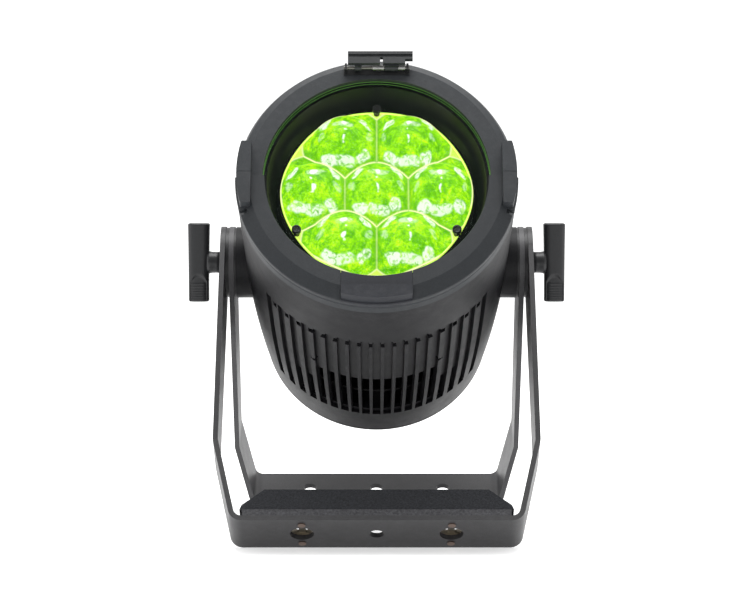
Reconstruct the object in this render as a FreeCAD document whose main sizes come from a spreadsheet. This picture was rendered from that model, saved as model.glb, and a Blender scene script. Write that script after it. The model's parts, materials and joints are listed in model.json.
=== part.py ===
"""Zoom par can light on a splayed double yoke, as an assembly of separate pieces.

Row frame: +Z up, +X to the right seen from the front, the beam leaves towards -Y.
The origin lies on the surface that the yokes stand on.
Yoke pieces are drawn in a yoke frame: tilt axis along X at the origin, the arms hang along -Z.
Head pieces are drawn in a head frame: +Z is the beam axis, +Y the top of the head, origin on the tilt axis.
"""
import FreeCAD, Part
import math
import os
import Sketcher

V = FreeCAD.Vector
doc = FreeCAD.newDocument("par_can")

# ---------------------------------------------------------------- driving dimensions
DRIVING = [
    ("strap_thickness", 5.0, "yoke strap thickness"),
    ("strap_width", 53.5, "yoke strap width at the crossbar"),
    ("strap_bend", 8.0, "inside radius of the strap bends"),
    ("eye_radius", 36.0, "round pivot end of each yoke arm"),
    ("outer_half", 155.5, "outer yoke, half width outside the arms"),
    ("outer_bend_drop", 222.6, "outer yoke, pivot to arm bend"),
    ("outer_reach", 309.6, "outer yoke, pivot to crossbar outer face"),
    ("outer_foot_half", 136.2, "outer yoke, half width at the crossbar corner"),
    ("outer_splay", 37.9, "outer yoke, degrees forward of vertical"),
    ("inner_half", 146.8, "inner yoke, half width outside the arms"),
    ("inner_bend_drop", 204.0, "inner yoke, pivot to arm bend"),
    ("inner_reach", 276.0, "inner yoke, pivot to crossbar outer face"),
    ("inner_foot_half", 131.2, "inner yoke, half width at the crossbar corner"),
    ("clamp_hole_radius", 7.0, "clamp bolt holes in the crossbars"),
    ("clamp_hole_pitch", 70.0, "centre hole to side hole"),
    ("quarter_turn_radius", 11.2, "quarter turn fastener holes"),
    ("rivet_pitch", 35.0, "rivet to rivet across a quarter turn hole"),
    ("rivet_radius", 2.4, "receptacle rivet shank"),
    ("buffer_base", 6.5, "carrier strip under the rubber buffer"),
    ("buffer_rise", 28.0, "carrier and buffer together, over the crossbar"),
    ("buffer_depth", 16.0, "buffer, along the strap width"),
    ("buffer_half", 128.0, "buffer half length at the base"),
    ("buffer_top_half", 105.0, "buffer half length at the top"),
    ("beam_tilt", 30.2, "beam axis above horizontal, degrees"),
    ("pivot_offset", 10.5, "tilt axis behind the middle of the base"),
    ("stud_radius", 6.0, "tilt stud"),
    ("stud_play", 0.08, "radial play round the stud"),
    ("washer_radius", 35.0, "friction washers"),
    ("knob_height", 79.0, "T handle length"),
    ("knob_width", 22.4, "T handle width"),
    ("knob_neck", 10.6, "radius of the handle's neck"),
    ("body_front", 158.0, "housing front edge on the beam axis"),
    ("body_front_radius", 132.9, "housing radius at its front edge"),
    ("body_waist", 30.0, "where the taper starts to curve"),
    ("body_waist_radius", 129.8, "housing radius there"),
    ("body_back", -104.0, "housing back edge"),
    ("cap_back", -165.0, "flat back of the rear cap"),
    ("cap_rim", -150.0, "rear cap, start of the rounded edge"),
    ("cap_rim_radius", 116.8, "rear cap radius there"),
    ("shell_wall", 8.0, "housing wall at the ribs"),
    ("channel_depth", 4.0, "depth of the cooling channels"),
    ("channel_width", 8.0, "width of the cooling channels"),
    ("rib_pitch", 11.4, "rib to rib across the housing"),
    ("channel_front", 89.0, "front end of the channels"),
    ("channel_back", -101.0, "back end of the channels"),
    ("bezel_face", 176.5, "bezel front face"),
    ("bezel_opening", 107.7, "bezel opening radius"),
    ("rail_face", 181.0, "accessory rail front face"),
    ("rail_lip", 105.5, "accessory rail lip, inner radius"),
    ("rail_shoulder", 120.6, "accessory rail, end of the flat front"),
    ("rail_radius", 133.7, "accessory rail, outer radius"),
    ("guide_chord", 118.3, "flat inner side of each guide"),
    ("guide_radius", 132.0, "rounded outer side of each guide"),
    ("guide_half", 33.0, "half length of each guide"),
    ("guide_face", 188.5, "front of the guides"),
    ("glass_radius", 111.0, "front glass"),
    ("glass_thickness", 4.0, "front glass"),
    ("glass_back", 167.5, "back face of the front glass"),
    ("lens_radius", 92.3, "lens array, outer radius"),
    ("lens_pitch", 60.6, "lens to lens"),
    ("lens_seat", 153.0, "front of the lens array's flange"),
    ("lens_dome", 44.0, "sphere radius of each lens"),
    ("post_circle", 87.5, "guide rods and zoom screw, from the beam axis"),
    ("rod_radius", 3.0, "guide rods and zoom screw"),
    ("deck_front", 88.0, "front of the chassis plate"),
    ("fan_size", 119.0, "cooling fan frame"),
    ("button_radius", 4.6, "menu buttons"),
]


class Size:
    """A dimension that carries its value and the spreadsheet expression that gives it."""

    def __init__(self, value, text):
        self.value = float(value)
        self.text = text

    def __add__(self, other):
        return Size(self.value + value_of(other), "(%s + %s)" % (self.text, text_of(other)))

    def __sub__(self, other):
        return Size(self.value - value_of(other), "(%s - %s)" % (self.text, text_of(other)))

    def __mul__(self, other):
        return Size(self.value * value_of(other), "%s * %s" % (self.text, text_of(other)))

    def __truediv__(self, other):
        return Size(self.value / value_of(other), "%s / %s" % (self.text, text_of(other)))

    def __neg__(self):
        return Size(-self.value, "(0 - %s)" % self.text)

    def __float__(self):
        return self.value


def value_of(size):
    return float(size)


def text_of(size):
    return size.text if isinstance(size, Size) else "(%s)" % repr(float(size))


def fill_sheet():
    sheet = doc.addObject("Spreadsheet::Sheet", "dims")
    sizes = {}
    for row, (alias, number, note) in enumerate(DRIVING, start=1):
        sheet.set("A%d" % row, note)
        sheet.set("B%d" % row, str(number))
        sheet.setAlias("B%d" % row, alias)
        sizes[alias] = Size(number, "dims." + alias)
    doc.recompute()
    return sizes


dims = fill_sheet()


def bind(obj, prop, size):
    """Sets a property, and ties it to the sheet when the size comes from there."""
    if isinstance(size, Size):
        obj.setExpression(prop, size.text)
    else:
        setattr(obj, prop, size)


# ---------------------------------------------------------------- derived placements
def frame(rotation_degrees):
    """Places a piece drawn about the tilt axis, turned about X."""
    origin = V(0, float(dims["pivot_offset"]), PIVOT_HEIGHT)
    return FreeCAD.Placement(origin, FreeCAD.Rotation(V(1, 0, 0), rotation_degrees))


outer_angle = math.radians(float(dims["outer_splay"]))
half_strap = float(dims["strap_width"]) / 2
PIVOT_HEIGHT = float(dims["outer_reach"]) * math.cos(outer_angle) + half_strap * math.sin(outer_angle)
inner_diagonal = math.hypot(float(dims["inner_reach"]), half_strap)
INNER_SPLAY = math.degrees(
    math.atan2(half_strap, float(dims["inner_reach"])) + math.acos(PIVOT_HEIGHT / inner_diagonal)
)
OUTER = frame(-float(dims["outer_splay"]))
INNER = frame(INNER_SPLAY)
HEAD = frame(90 - float(dims["beam_tilt"]))

pieces = []


def keep(obj, name, placement=None):
    """Registers a finished piece under its node name and puts it in place."""
    obj.Label = name
    if placement is not None:
        obj.Placement = placement.multiply(obj.Placement)
    pieces.append(obj)
    return obj


# ---------------------------------------------------------------- sketch and feature helpers
def origin_plane(body, role):
    return [f for f in body.Origin.OriginFeatures if f.Role == role][0]


def new_body(name):
    return doc.addObject("PartDesign::Body", name)


def new_sketch(body, name, plane):
    sketch = body.newObject("Sketcher::SketchObject", name)
    sketch.AttachmentSupport = [(origin_plane(body, plane), "")]
    sketch.MapMode = "FlatFace"
    return sketch


def pin_coordinate(sketch, kind, edge, end, size):
    """Fixes one coordinate of a vertex, from the sketch origin."""
    axis = -2 if kind == "DistanceX" else -1
    if abs(float(size)) < 1e-9:
        sketch.addConstraint(Sketcher.Constraint("PointOnObject", edge, end, axis))
        return
    if float(size) > 0:
        rule = Sketcher.Constraint(kind, -1, 1, edge, end, float(size))
    else:
        rule = Sketcher.Constraint(kind, edge, end, -1, 1, -float(size))
        size = -size
    index = sketch.addConstraint(rule)
    if isinstance(size, Size):
        sketch.setExpression("Constraints[%d]" % index, size.text)


def polygon(sketch, points):
    """Draws a closed outline of straight edges with every corner pinned."""
    corners = [V(float(x), float(y), 0) for x, y in points]
    count = len(corners)
    edges = [Part.LineSegment(corners[i], corners[(i + 1) % count]) for i in range(count)]
    first = sketch.addGeometry(edges, False)[0]
    for i in range(count):
        sketch.addConstraint(
            Sketcher.Constraint("Coincident", first + i, 2, first + (i + 1) % count, 1)
        )
    for i, (x, y) in enumerate(points):
        pin_coordinate(sketch, "DistanceX", first + i, 1, x)
        pin_coordinate(sketch, "DistanceY", first + i, 1, y)


def circle(sketch, x, y, radius):
    index = sketch.addGeometry(Part.Circle(V(float(x), float(y), 0), V(0, 0, 1), float(radius)), False)
    rule = sketch.addConstraint(Sketcher.Constraint("Radius", index, float(radius)))
    if isinstance(radius, Size):
        sketch.setExpression("Constraints[%d]" % rule, radius.text)
    pin_coordinate(sketch, "DistanceX", index, 3, x)
    pin_coordinate(sketch, "DistanceY", index, 3, y)


def free_outline(sketch, edges):
    """Draws ready-made line and arc edges, joined where their ends already meet."""
    first = sketch.addGeometry(edges, False)[0]
    for i in range(len(edges)):
        here = first + i
        follower = first + (i + 1) % len(edges)
        pairs = [(sketch.getPoint(here, a).distanceToPoint(sketch.getPoint(follower, b)), a, b)
                 for a in (1, 2) for b in (1, 2)]
        gap, end, start = min(pairs)
        sketch.addConstraint(Sketcher.Constraint("Coincident", here, end, follower, start))


def revolve(body, sketch, angle=360.0, reversed_turn=False, midplane=False):
    turned = body.newObject("PartDesign::Revolution", sketch.Name + "_turned")
    turned.Profile = sketch
    turned.ReferenceAxis = (sketch, ["V_Axis"])
    turned.Angle = angle
    turned.Reversed = reversed_turn
    turned.Midplane = midplane
    doc.recompute()
    return turned


def pad(body, sketch, length, midplane=False, reversed_side=False):
    padded = body.newObject("PartDesign::Pad", sketch.Name + "_pad")
    padded.Profile = sketch
    bind(padded, "Length", length)
    padded.Midplane = midplane
    padded.Reversed = reversed_side
    doc.recompute()
    return padded


def pocket(body, sketch, length=None, midplane=False, reversed_side=False):
    """Cuts a sketch out of the body, through everything when no length is given."""
    before = body.Shape.Volume
    cut = body.newObject("PartDesign::Pocket", sketch.Name + "_cut")
    cut.Profile = sketch
    if length is None:
        cut.Type = 1
    else:
        bind(cut, "Length", length)
    cut.Midplane = midplane
    cut.Reversed = reversed_side
    doc.recompute()
    if body.Shape.Volume > before - 1e-3:
        raise RuntimeError("%s removes nothing" % sketch.Name)
    return cut


def turned_piece(name, points):
    """A full ring or disc from a half section given as (radius, height) corners."""
    body = new_body(name)
    section = new_sketch(body, name + "_section", "XZ_Plane")
    polygon(section, points)
    revolve(body, section)
    return body


def ring(name, inner, outer, low, high):
    return turned_piece(name, [(inner, low), (outer, low), (outer, high), (inner, high)])


def cylinder(name, radius, height, at=(0, 0, 0), direction=V(0, 0, 1)):
    obj = doc.addObject("Part::Cylinder", name)
    bind(obj, "Radius", radius)
    bind(obj, "Height", height)
    obj.Placement = FreeCAD.Placement(V(*at), FreeCAD.Rotation(V(0, 0, 1), direction))
    return obj


def box(name, length, width, height, centre, turn=0.0):
    """A box given by its centre in X and Y and its lowest Z, turned about Z."""
    obj = doc.addObject("Part::Box", name)
    bind(obj, "Length", length)
    bind(obj, "Width", width)
    bind(obj, "Height", height)
    shift = V(-float(length) / 2, -float(width) / 2, 0)
    spin = FreeCAD.Rotation(V(0, 0, 1), turn)
    obj.Placement = FreeCAD.Placement(V(*centre) + spin.multVec(shift), spin)
    return obj


def fuse(name, parts):
    obj = doc.addObject("Part::MultiFuse", name)
    obj.Shapes = parts
    return obj


def cut(name, base, tool):
    obj = doc.addObject("Part::Cut", name)
    obj.Base = base
    obj.Tool = tool
    return obj


def common(name, first, second):
    obj = doc.addObject("Part::MultiCommon", name)
    obj.Shapes = [first, second]
    return obj


def group(name, parts):
    """Several separate solids that share one node."""
    obj = doc.addObject("Part::Compound", name)
    obj.Links = parts
    return obj


def polar(radius, degrees, height=0.0):
    angle = math.radians(degrees)
    return V(float(radius) * math.cos(angle), float(radius) * math.sin(angle), float(height))


def rounded_strip(points, radii):
    """Line and arc edges of a closed outline whose corners are rounded."""
    count = len(points)
    starts = []
    ends = []
    mids = []
    for i in range(count):
        here = V(*points[i], 0)
        back = V(*points[i - 1], 0) - here
        on = V(*points[(i + 1) % count], 0) - here
        back.normalize()
        on.normalize()
        half = back.getAngle(on) / 2
        reach = radii[i] / math.tan(half)
        middle = back + on
        middle.normalize()
        starts.append(here + back * reach)
        ends.append(here + on * reach)
        mids.append(here + middle * (radii[i] / math.sin(half) - radii[i]))
    edges = []
    for i in range(count):
        if radii[i] > 0:
            edges.append(Part.Arc(starts[i], mids[i], ends[i]))
        edges.append(Part.LineSegment(ends[i], starts[(i + 1) % count]))
    return edges


# ---------------------------------------------------------------- yokes
def strap_outline(half, bend_drop, reach, foot_half):
    """The U of a yoke seen along the tilt axis' normal: outer line down one side and back inside."""
    wall = float(dims["strap_thickness"])
    half, drop, reach, foot = float(half), float(bend_drop), float(reach), float(foot_half)
    top = float(dims["eye_radius"]) + 2
    slope = math.atan2(half - foot, reach - drop)
    inner_bend = drop - wall * math.tan(slope / 2)
    inner_reach = reach - wall
    inner_foot = foot - wall / math.cos(slope) + wall * math.tan(slope)
    bend = float(dims["strap_bend"])
    points = [
        (half, top), (half, -drop), (foot, -reach), (-foot, -reach), (-half, -drop), (-half, top),
        (wall - half, top), (wall - half, -inner_bend), (-inner_foot, -inner_reach),
        (inner_foot, -inner_reach), (half - wall, -inner_bend), (half - wall, top),
    ]
    outside = bend + wall
    radii = [0, outside, outside, outside, outside, 0, 0, bend, bend, bend, bend, 0]
    return rounded_strip(points, radii)


def arm_outline(bend_drop, reach):
    """The strap seen along the tilt axis: a round eye that tapers to the strap's width."""
    eye = float(dims["eye_radius"])
    drop = float(bend_drop)
    foot = float(reach) + 2
    distance = math.hypot(half_strap, drop)
    lean = math.acos(eye / distance) + math.atan2(-drop, half_strap)
    touch = V(eye * math.cos(lean), eye * math.sin(lean), 0)
    mirror = V(-touch.x, touch.y, 0)
    corners = [touch, V(half_strap, -drop, 0), V(half_strap, -foot, 0)]
    corners += [V(-half_strap, -foot, 0), V(-half_strap, -drop, 0), mirror]
    edges = [Part.LineSegment(corners[i], corners[i + 1]) for i in range(5)]
    edges.append(Part.Arc(mirror, V(0, eye, 0), touch))
    return edges


def yoke(name, half, bend_drop, reach, foot_half, side_hole_radius, rivet_rows):
    body = new_body(name)
    strap = new_sketch(body, name + "_strap", "XZ_Plane")
    free_outline(strap, strap_outline(half, bend_drop, reach, foot_half))
    pad(body, strap, dims["eye_radius"] * 2 + 4, midplane=True)
    trim = new_sketch(body, name + "_trim", "YZ_Plane")
    far = 400
    polygon(trim, [(-far, -far), (far, -far), (far, far), (-far, far)])
    free_outline(trim, arm_outline(bend_drop, reach))
    pocket(body, trim, midplane=True)
    eyes = new_sketch(body, name + "_eyes", "YZ_Plane")
    circle(eyes, 0, 0, dims["stud_radius"] + dims["stud_play"])
    pocket(body, eyes, midplane=True)
    holes = new_sketch(body, name + "_holes", "XY_Plane")
    circle(holes, 0, 0, dims["clamp_hole_radius"])
    circle(holes, dims["clamp_hole_pitch"], 0, side_hole_radius)
    circle(holes, -dims["clamp_hole_pitch"], 0, side_hole_radius)
    for row in rivet_rows:
        for side in (-1, 1):
            circle(holes, dims["clamp_hole_pitch"] * side, dims["rivet_pitch"] / 2 * row, dims["rivet_radius"])
    pocket(body, holes)
    return body


def make_yokes():
    outer = yoke("outer_yoke", dims["outer_half"], dims["outer_bend_drop"], dims["outer_reach"],
                 dims["outer_foot_half"], dims["quarter_turn_radius"], (-1, 1))
    keep(outer, "outer_yoke", OUTER)
    inner = yoke("inner_yoke", dims["inner_half"], dims["inner_bend_drop"], dims["inner_reach"],
                 dims["inner_foot_half"], dims["clamp_hole_radius"], ())
    keep(inner, "inner_yoke", INNER)


def make_buffer():
    """A carrier strip along the near edge of the outer crossbar, with a bevelled rubber block on it."""
    bed = dims["outer_reach"] - dims["strap_thickness"]
    depth = dims["buffer_depth"]
    near = -half_strap
    strip = box("carrier_strip", dims["buffer_half"] * 2 - 5, depth, dims["buffer_base"],
                (0, near + float(depth) / 2, -float(bed)))
    pockets = []
    for side in (-1, 1):
        x = side * float(dims["clamp_hole_pitch"])
        pockets.append(cylinder("carrier_cup_pocket_%d" % side, 15.0, 12.0, (x, 0, -float(bed) - 1)))
        pockets.append(box("carrier_tab_pocket_%d" % side, 10.0, 50.0, 6.0, (x, 0, -float(bed) - 1)))
    keep(drilled("carrier_ready_strip", strip, pockets), "buffer_carrier", OUTER)
    body = new_body("buffer_block")
    face = new_sketch(body, "buffer_face", "XZ_Plane")
    foot = -(bed - dims["buffer_base"])
    crown = -(bed - dims["buffer_rise"])
    half = dims["buffer_half"]
    top_half = dims["buffer_top_half"]
    shoulder = foot + 5
    polygon(face, [(-half, foot), (half, foot), (half - 2, shoulder), (top_half, crown),
                   (-top_half, crown), (-(half - 2), shoulder)])
    pad(body, face, depth - 1.5)
    body.Placement = FreeCAD.Placement(V(0, near + float(depth) - 1.0, 0), FreeCAD.Rotation())
    dents = [cylinder("buffer_dent_%d" % side, 13.0, 10.0,
                      (side * float(dims["clamp_hole_pitch"]), 0, -float(bed)))
             for side in (-1, 1)]
    keep(drilled("buffer_ready", body, dents), "yoke_buffer", OUTER)


def make_receptacles():
    """Quarter turn receptacles: a flange behind each side hole, a cup and the bar that the stud locks on."""
    bed = -(float(dims["outer_reach"]) - float(dims["strap_thickness"]))
    hole = float(dims["quarter_turn_radius"])
    half_pitch = float(dims["rivet_pitch"]) / 2
    units = []
    rivets = []
    for side in (-1, 1):
        x = side * float(dims["clamp_hole_pitch"])
        plate = fuse("flange_%d" % side, [
            cylinder("flange_disc_%d" % side, hole + 2.8, 1.5, (x, 0, bed)),
            box("flange_tab_%d" % side, 9, half_pitch * 2 + 8, 1.5, (x, 0, bed)),
        ])
        cup = cut("cup_%d" % side,
                  cylinder("cup_outside_%d" % side, hole + 1.2, 5.5, (x, 0, bed)),
                  cylinder("cup_inside_%d" % side, hole - 0.2, 8, (x, 0, bed - 1)))
        bar = box("lock_bar_%d" % side, 6.5, hole * 2, 2.5, (x, 0, bed + 2.5))
        rivet_holes = [cylinder("flange_rivet_%d_%d" % (side, end), dims["rivet_radius"], 4,
                                (x, end * half_pitch, bed - 1)) for end in (-1, 1)]
        mouth = cylinder("flange_mouth_%d" % side, hole - 0.2, 4, (x, 0, bed - 1))
        shell = drilled("open_flange_%d" % side, plate, [mouth] + rivet_holes)
        units.append(fuse("receptacle_%d" % side, [shell, cup, bar]))
        for end in (-1, 1):
            y = end * half_pitch
            wall = float(dims["strap_thickness"])
            rivets.append(fuse("rivet_%d_%d" % (side, end), [
                cylinder("rivet_head_%d_%d" % (side, end), dims["rivet_radius"] + 1.2, 1.0,
                         (x, y, bed - wall - 1.0)),
                cylinder("rivet_shank_%d_%d" % (side, end), dims["rivet_radius"], wall + 2.0,
                         (x, y, bed - wall - 0.5)),
                cylinder("rivet_tail_%d_%d" % (side, end), dims["rivet_radius"] + 0.8, 1.2,
                         (x, y, bed + 1.5)),
            ]))
    keep(group("receptacles", units), "quarter_turn_receptacles", OUTER)
    keep(group("rivets", rivets), "receptacle_rivets", OUTER)


def make_pivots():
    """Everything on the tilt axis outside the housing, drawn on the right and turned round for the left."""
    wall = float(dims["strap_thickness"])
    inner_face = float(dims["inner_half"]) - wall
    stack = [
        ("yoke_spacers", float(dims["inner_half"]) + 0.15,
         float(dims["outer_half"]) - wall - float(dims["inner_half"]) - 0.3),
        ("friction_discs", inner_face - 1.75, 1.6),
    ]
    for name, start, thickness in stack:
        pair = []
        for side in (-1, 1):
            out = V(side, 0, 0)
            disc = cylinder("%s_disc_%d" % (name, side), dims["washer_radius"], thickness,
                            (side * start, 0, 0), out)
            hole = cylinder("%s_hole_%d" % (name, side), dims["stud_radius"] + dims["stud_play"],
                            thickness + 2, (side * (start - 1), 0, 0), out)
            pair.append(cut("%s_%d" % (name, side), disc, hole))
        keep(group(name + "_pair", pair), name, HEAD if name == "friction_discs" else OUTER)


def make_knob(side, label):
    """T handle with a round neck and collar, on a threaded stud that runs into the housing boss."""
    out = V(side, 0, 0)
    outside = float(dims["outer_half"]) + 0.15
    neck_length = 11.5
    bar_start = outside + neck_length
    width = float(dims["knob_width"])
    height = float(dims["knob_height"])
    body = new_body("knob_block_" + label)
    side_view = new_sketch(body, "knob_outline_" + label, "XZ_Plane")
    middle = side * (bar_start + width / 2)
    half, taper = width / 2, 1.0
    outline = [(middle - half, -height / 2), (middle + half - taper, -height / 2),
               (middle + half, height / 2), (middle - half + taper, height / 2)]
    if side < 0:
        outline = [(middle + half, -height / 2), (middle - half + taper, -height / 2),
                   (middle - half, height / 2), (middle + half - taper, height / 2)]
    polygon(side_view, outline)
    block = pad(body, side_view, 17, midplane=True)
    upright = [
        "Edge%d" % (i + 1) for i, e in enumerate(block.Shape.Edges)
        if abs(e.Length - height) < 1 and abs(e.tangentAt(e.FirstParameter).z) > 0.9
    ]
    rounded = body.newObject("PartDesign::Fillet", "knob_round_" + label)
    rounded.Base = (block, upright)
    rounded.Radius = 5.5
    doc.recompute()
    neck = cylinder("knob_neck_" + label, dims["knob_neck"], neck_length + 6, (side * outside, 0, 0), out)
    knob = fuse("knob_solid_" + label, [body, neck])
    bore = cylinder("knob_bore_" + label, dims["stud_radius"], neck_length + 10,
                    (side * (outside - 1), 0, 0), out)
    keep(cut("knob_" + label, knob, bore), "tilt_knob_" + label, HEAD_UPRIGHT)
    stud_end = float(dims["inner_half"]) - wall_stack() - 10
    stud = cylinder("stud_" + label, dims["stud_radius"], outside + neck_length + 9 - stud_end,
                    (side * stud_end, 0, 0), out)
    keep(stud, "knob_stud_" + label, HEAD_UPRIGHT)


def wall_stack():
    """From the inner yoke's outer face in to the end of the housing boss."""
    return float(dims["strap_thickness"]) + 1.9


HEAD_UPRIGHT = frame(0)


# ---------------------------------------------------------------- housing
def shell_line():
    """Outer profile of the housing and rear cap: a straight taper, then an arc to the cap's rim."""
    waist = V(float(dims["body_waist_radius"]), float(dims["body_waist"]), 0)
    front = V(float(dims["body_front_radius"]), float(dims["body_front"]), 0)
    rim = V(float(dims["cap_rim_radius"]), float(dims["cap_rim"]), 0)
    along = waist - front
    along.normalize()
    chord = rim - waist
    lean = along.getAngle(chord)
    radius = chord.Length / (2 * math.sin(lean))
    centre = waist + V(along.y, -along.x, 0) * radius
    if centre.x > waist.x:
        centre = waist - V(along.y, -along.x, 0) * radius
    return front, waist, rim, centre, radius


def shell_radius(height):
    front, waist, rim, centre, radius = shell_line()
    if height >= waist.y:
        share = (height - waist.y) / (front.y - waist.y)
        return waist.x + share * (front.x - waist.x)
    return centre.x + math.sqrt(radius ** 2 - (height - centre.y) ** 2)


def profile_edges(low, high, inset):
    """The shell's outline between two heights, moved inwards, from low to high."""
    waist = float(dims["body_waist"])
    if low >= waist or high <= low:
        return [Part.LineSegment(V(shell_radius(low) - inset, low, 0), V(shell_radius(high) - inset, high, 0))]
    bend_end = min(high, waist)
    middle = (low + bend_end) / 2
    edges = [Part.Arc(V(shell_radius(low) - inset, low, 0), V(shell_radius(middle) - inset, middle, 0),
                      V(shell_radius(bend_end) - inset, bend_end, 0))]
    if high > waist:
        edges.append(Part.LineSegment(V(shell_radius(waist) - inset, waist, 0),
                                      V(shell_radius(high) - inset, high, 0)))
    return edges


def reverse_edges(edges):
    turned = []
    for edge in reversed(edges):
        if isinstance(edge, Part.LineSegment):
            turned.append(Part.LineSegment(edge.EndPoint, edge.StartPoint))
        else:
            whole = edge.toShape() if hasattr(edge, "toShape") else edge
            first, last = whole.valueAt(whole.FirstParameter), whole.valueAt(whole.LastParameter)
            middle = whole.valueAt((whole.FirstParameter + whole.LastParameter) / 2)
            turned.append(Part.Arc(last, middle, first))
    return turned


def shell_section(low, high, outer_inset, inner_inset):
    """Closed half section between two copies of the shell's outline."""
    outside = profile_edges(low, high, outer_inset)
    inside = reverse_edges(profile_edges(low, high, inner_inset))
    high_out = V(shell_radius(high) - outer_inset, high, 0)
    high_in = V(shell_radius(high) - inner_inset, high, 0)
    low_in = V(shell_radius(low) - inner_inset, low, 0)
    low_out = V(shell_radius(low) - outer_inset, low, 0)
    return outside + [Part.LineSegment(high_out, high_in)] + inside + [Part.LineSegment(low_in, low_out)]


def rib_angle(slot):
    """Direction of a channel from the bottom (or top) middle, so that channels are even across the width."""
    return math.degrees(math.asin(slot * float(dims["rib_pitch"]) / float(dims["body_waist_radius"])))


def radial_slab(name, width, degrees, reach_in, reach_out, low, high):
    """A flat slab that stands radially at an angle, from one radius to another."""
    middle = polar((reach_in + reach_out) / 2, degrees, low)
    return box(name, reach_out - reach_in, width, high - low, (middle.x, middle.y, low), degrees)


WINDOW_SLOTS = 7
CHANNEL_SLOTS = 9


def make_housing():
    low, high = float(dims["body_back"]), float(dims["body_front"])
    wall = float(dims["shell_wall"])
    depth = float(dims["channel_depth"])
    body = new_body("housing_shell")
    section = new_sketch(body, "housing_section", "XZ_Plane")
    free_outline(section, shell_section(low, high, 0.0, wall))
    revolve(body, section)
    bosses = new_sketch(body, "housing_bosses", "YZ_Plane")
    circle(bosses, 0, 0, dims["eye_radius"] - 0.5)
    boss_reach = dims["inner_half"] - dims["strap_thickness"] - 1.9
    pad(body, bosses, boss_reach * 2, midplane=True)
    hollow = new_sketch(body, "housing_hollow", "XZ_Plane")
    room = 120.0
    reach = dims["eye_radius"] + 4
    polygon(hollow, [(0, -reach), (room, -reach), (room, reach), (0, reach)])
    groove = body.newObject("PartDesign::Groove", "housing_hollow_cut")
    groove.Profile = hollow
    groove.ReferenceAxis = (hollow, ["V_Axis"])
    groove.Angle = 360
    doc.recompute()
    stud_bores = new_sketch(body, "stud_bores", "YZ_Plane")
    circle(stud_bores, 0, 0, dims["stud_radius"] + dims["stud_play"])
    pocket(body, stud_bores, midplane=True)
    skin = new_body("channel_band")
    band = new_sketch(skin, "channel_band_section", "XZ_Plane")
    front, back = float(dims["channel_front"]), float(dims["channel_back"])
    free_outline(band, shell_section(back, front, -3.0, depth))
    revolve(skin, band)
    slabs = []
    windows = []
    notches = []
    width = dims["channel_width"]
    for centre in (-90, 90):
        for slot in range(-CHANNEL_SLOTS, CHANNEL_SLOTS + 1):
            angle = centre + rib_angle(slot)
            tag = "%d_%d" % (centre, slot)
            slabs.append(radial_slab("channel_" + tag, width, angle, 100.0, 150.0, back, front))
            if abs(slot) <= WINDOW_SLOTS:
                start, end = (-10.0, -94.0) if abs(slot) < 6 else (-44.0, -99.0)
                windows.append(radial_slab("window_" + tag, width - 0.4, angle, 105.0, 150.0, end, start))
        for slot in range(-CHANNEL_SLOTS, CHANNEL_SLOTS):
            angle = centre + rib_angle(slot + 0.5)
            tag = "%d_%d" % (centre, slot)
            notches.append(radial_slab("notch_" + tag, 5.0, angle,
                                       shell_radius(80.0) - depth - 2.0, 150.0, 77.5, front - 3.0))
    pockets = []
    for side in (-1, 1):
        angle = -90 + side * rib_angle(5.4)
        out = polar(1.0, angle)
        start = polar(120.0, angle, 14.0)
        pockets.append(cylinder("pocket_hole_%d" % side, 2.4, 20.0, (start.x, start.y, start.z), out))
        slot = radial_slab("pocket_slot_%d" % side, 2.2, angle + side * 1.6, 122.0, 140.0, 14.0, 26.0)
        pockets.append(slot)
    channels = common("channels", fuse("channel_slabs", slabs), skin)
    threads = pins("bezel_thread", 2.0, 20.0, spots(BEZEL_SCREW_CIRCLE, LUG_ANGLES, 140.0))
    threads += pins("deck_thread", 2.0, 20.0, spots(DECK_SCREW_CIRCLE, LUG_ANGLES, 70.0))
    threads += pins("tray_thread", 2.0, 20.0, spots(TRAY_SCREW_CIRCLE, LUG_ANGLES, -64.0))
    threads += pins("cap_thread", 2.0, 20.0, spots(CAP_SCREW_CIRCLE, LUG_ANGLES, -110.0))
    cuts = fuse("housing_cuts", [channels, fuse("windows", windows), fuse("notches", notches)] + threads + pockets)
    lugged = fuse("housing_lugged", [body] + make_lugs())
    keep(cut("main_housing_solid", lugged, cuts), "main_housing", HEAD)


# the lugs inside the housing: inner radius, outer inset from the shell, lowest and highest height
LUG_ANGLES = (45, 135, 225, 315)
LUGS = {
    "bezel": (113.5, 146.0, 158.0),
    "deck": (110.0, 76.0, 84.0),
    "tray": (104.0, -58.0, -50.0),
    "cap": (93.0, -104.0, -94.0),
}
BEZEL_SCREW_CIRCLE = 118.5
DECK_SCREW_CIRCLE = 115.0
TRAY_SCREW_CIRCLE = 110.0
CAP_SCREW_CIRCLE = 98.0
POST_ANGLES = (90, 210, 330)


def make_lugs():
    made = []
    for kind, (inner, low, high) in LUGS.items():
        outer = shell_radius((low + high) / 2) - 5.5
        for angle in LUG_ANGLES:
            made.append(radial_slab("%s_lug_%d" % (kind, angle), 14.0, angle, inner, outer, low, high))
    return made


def spots(circle_radius, angles, height):
    return [polar(circle_radius, a, height) for a in angles]


def pins(name, radius, length, places):
    """Equal upright cylinders at several places."""
    return [cylinder("%s_%d" % (name, i), radius, length, place) for i, place in enumerate(places, 1)]


def drilled(name, base, tools):
    return cut(name, base, fuse(name + "_tools", tools))


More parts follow.
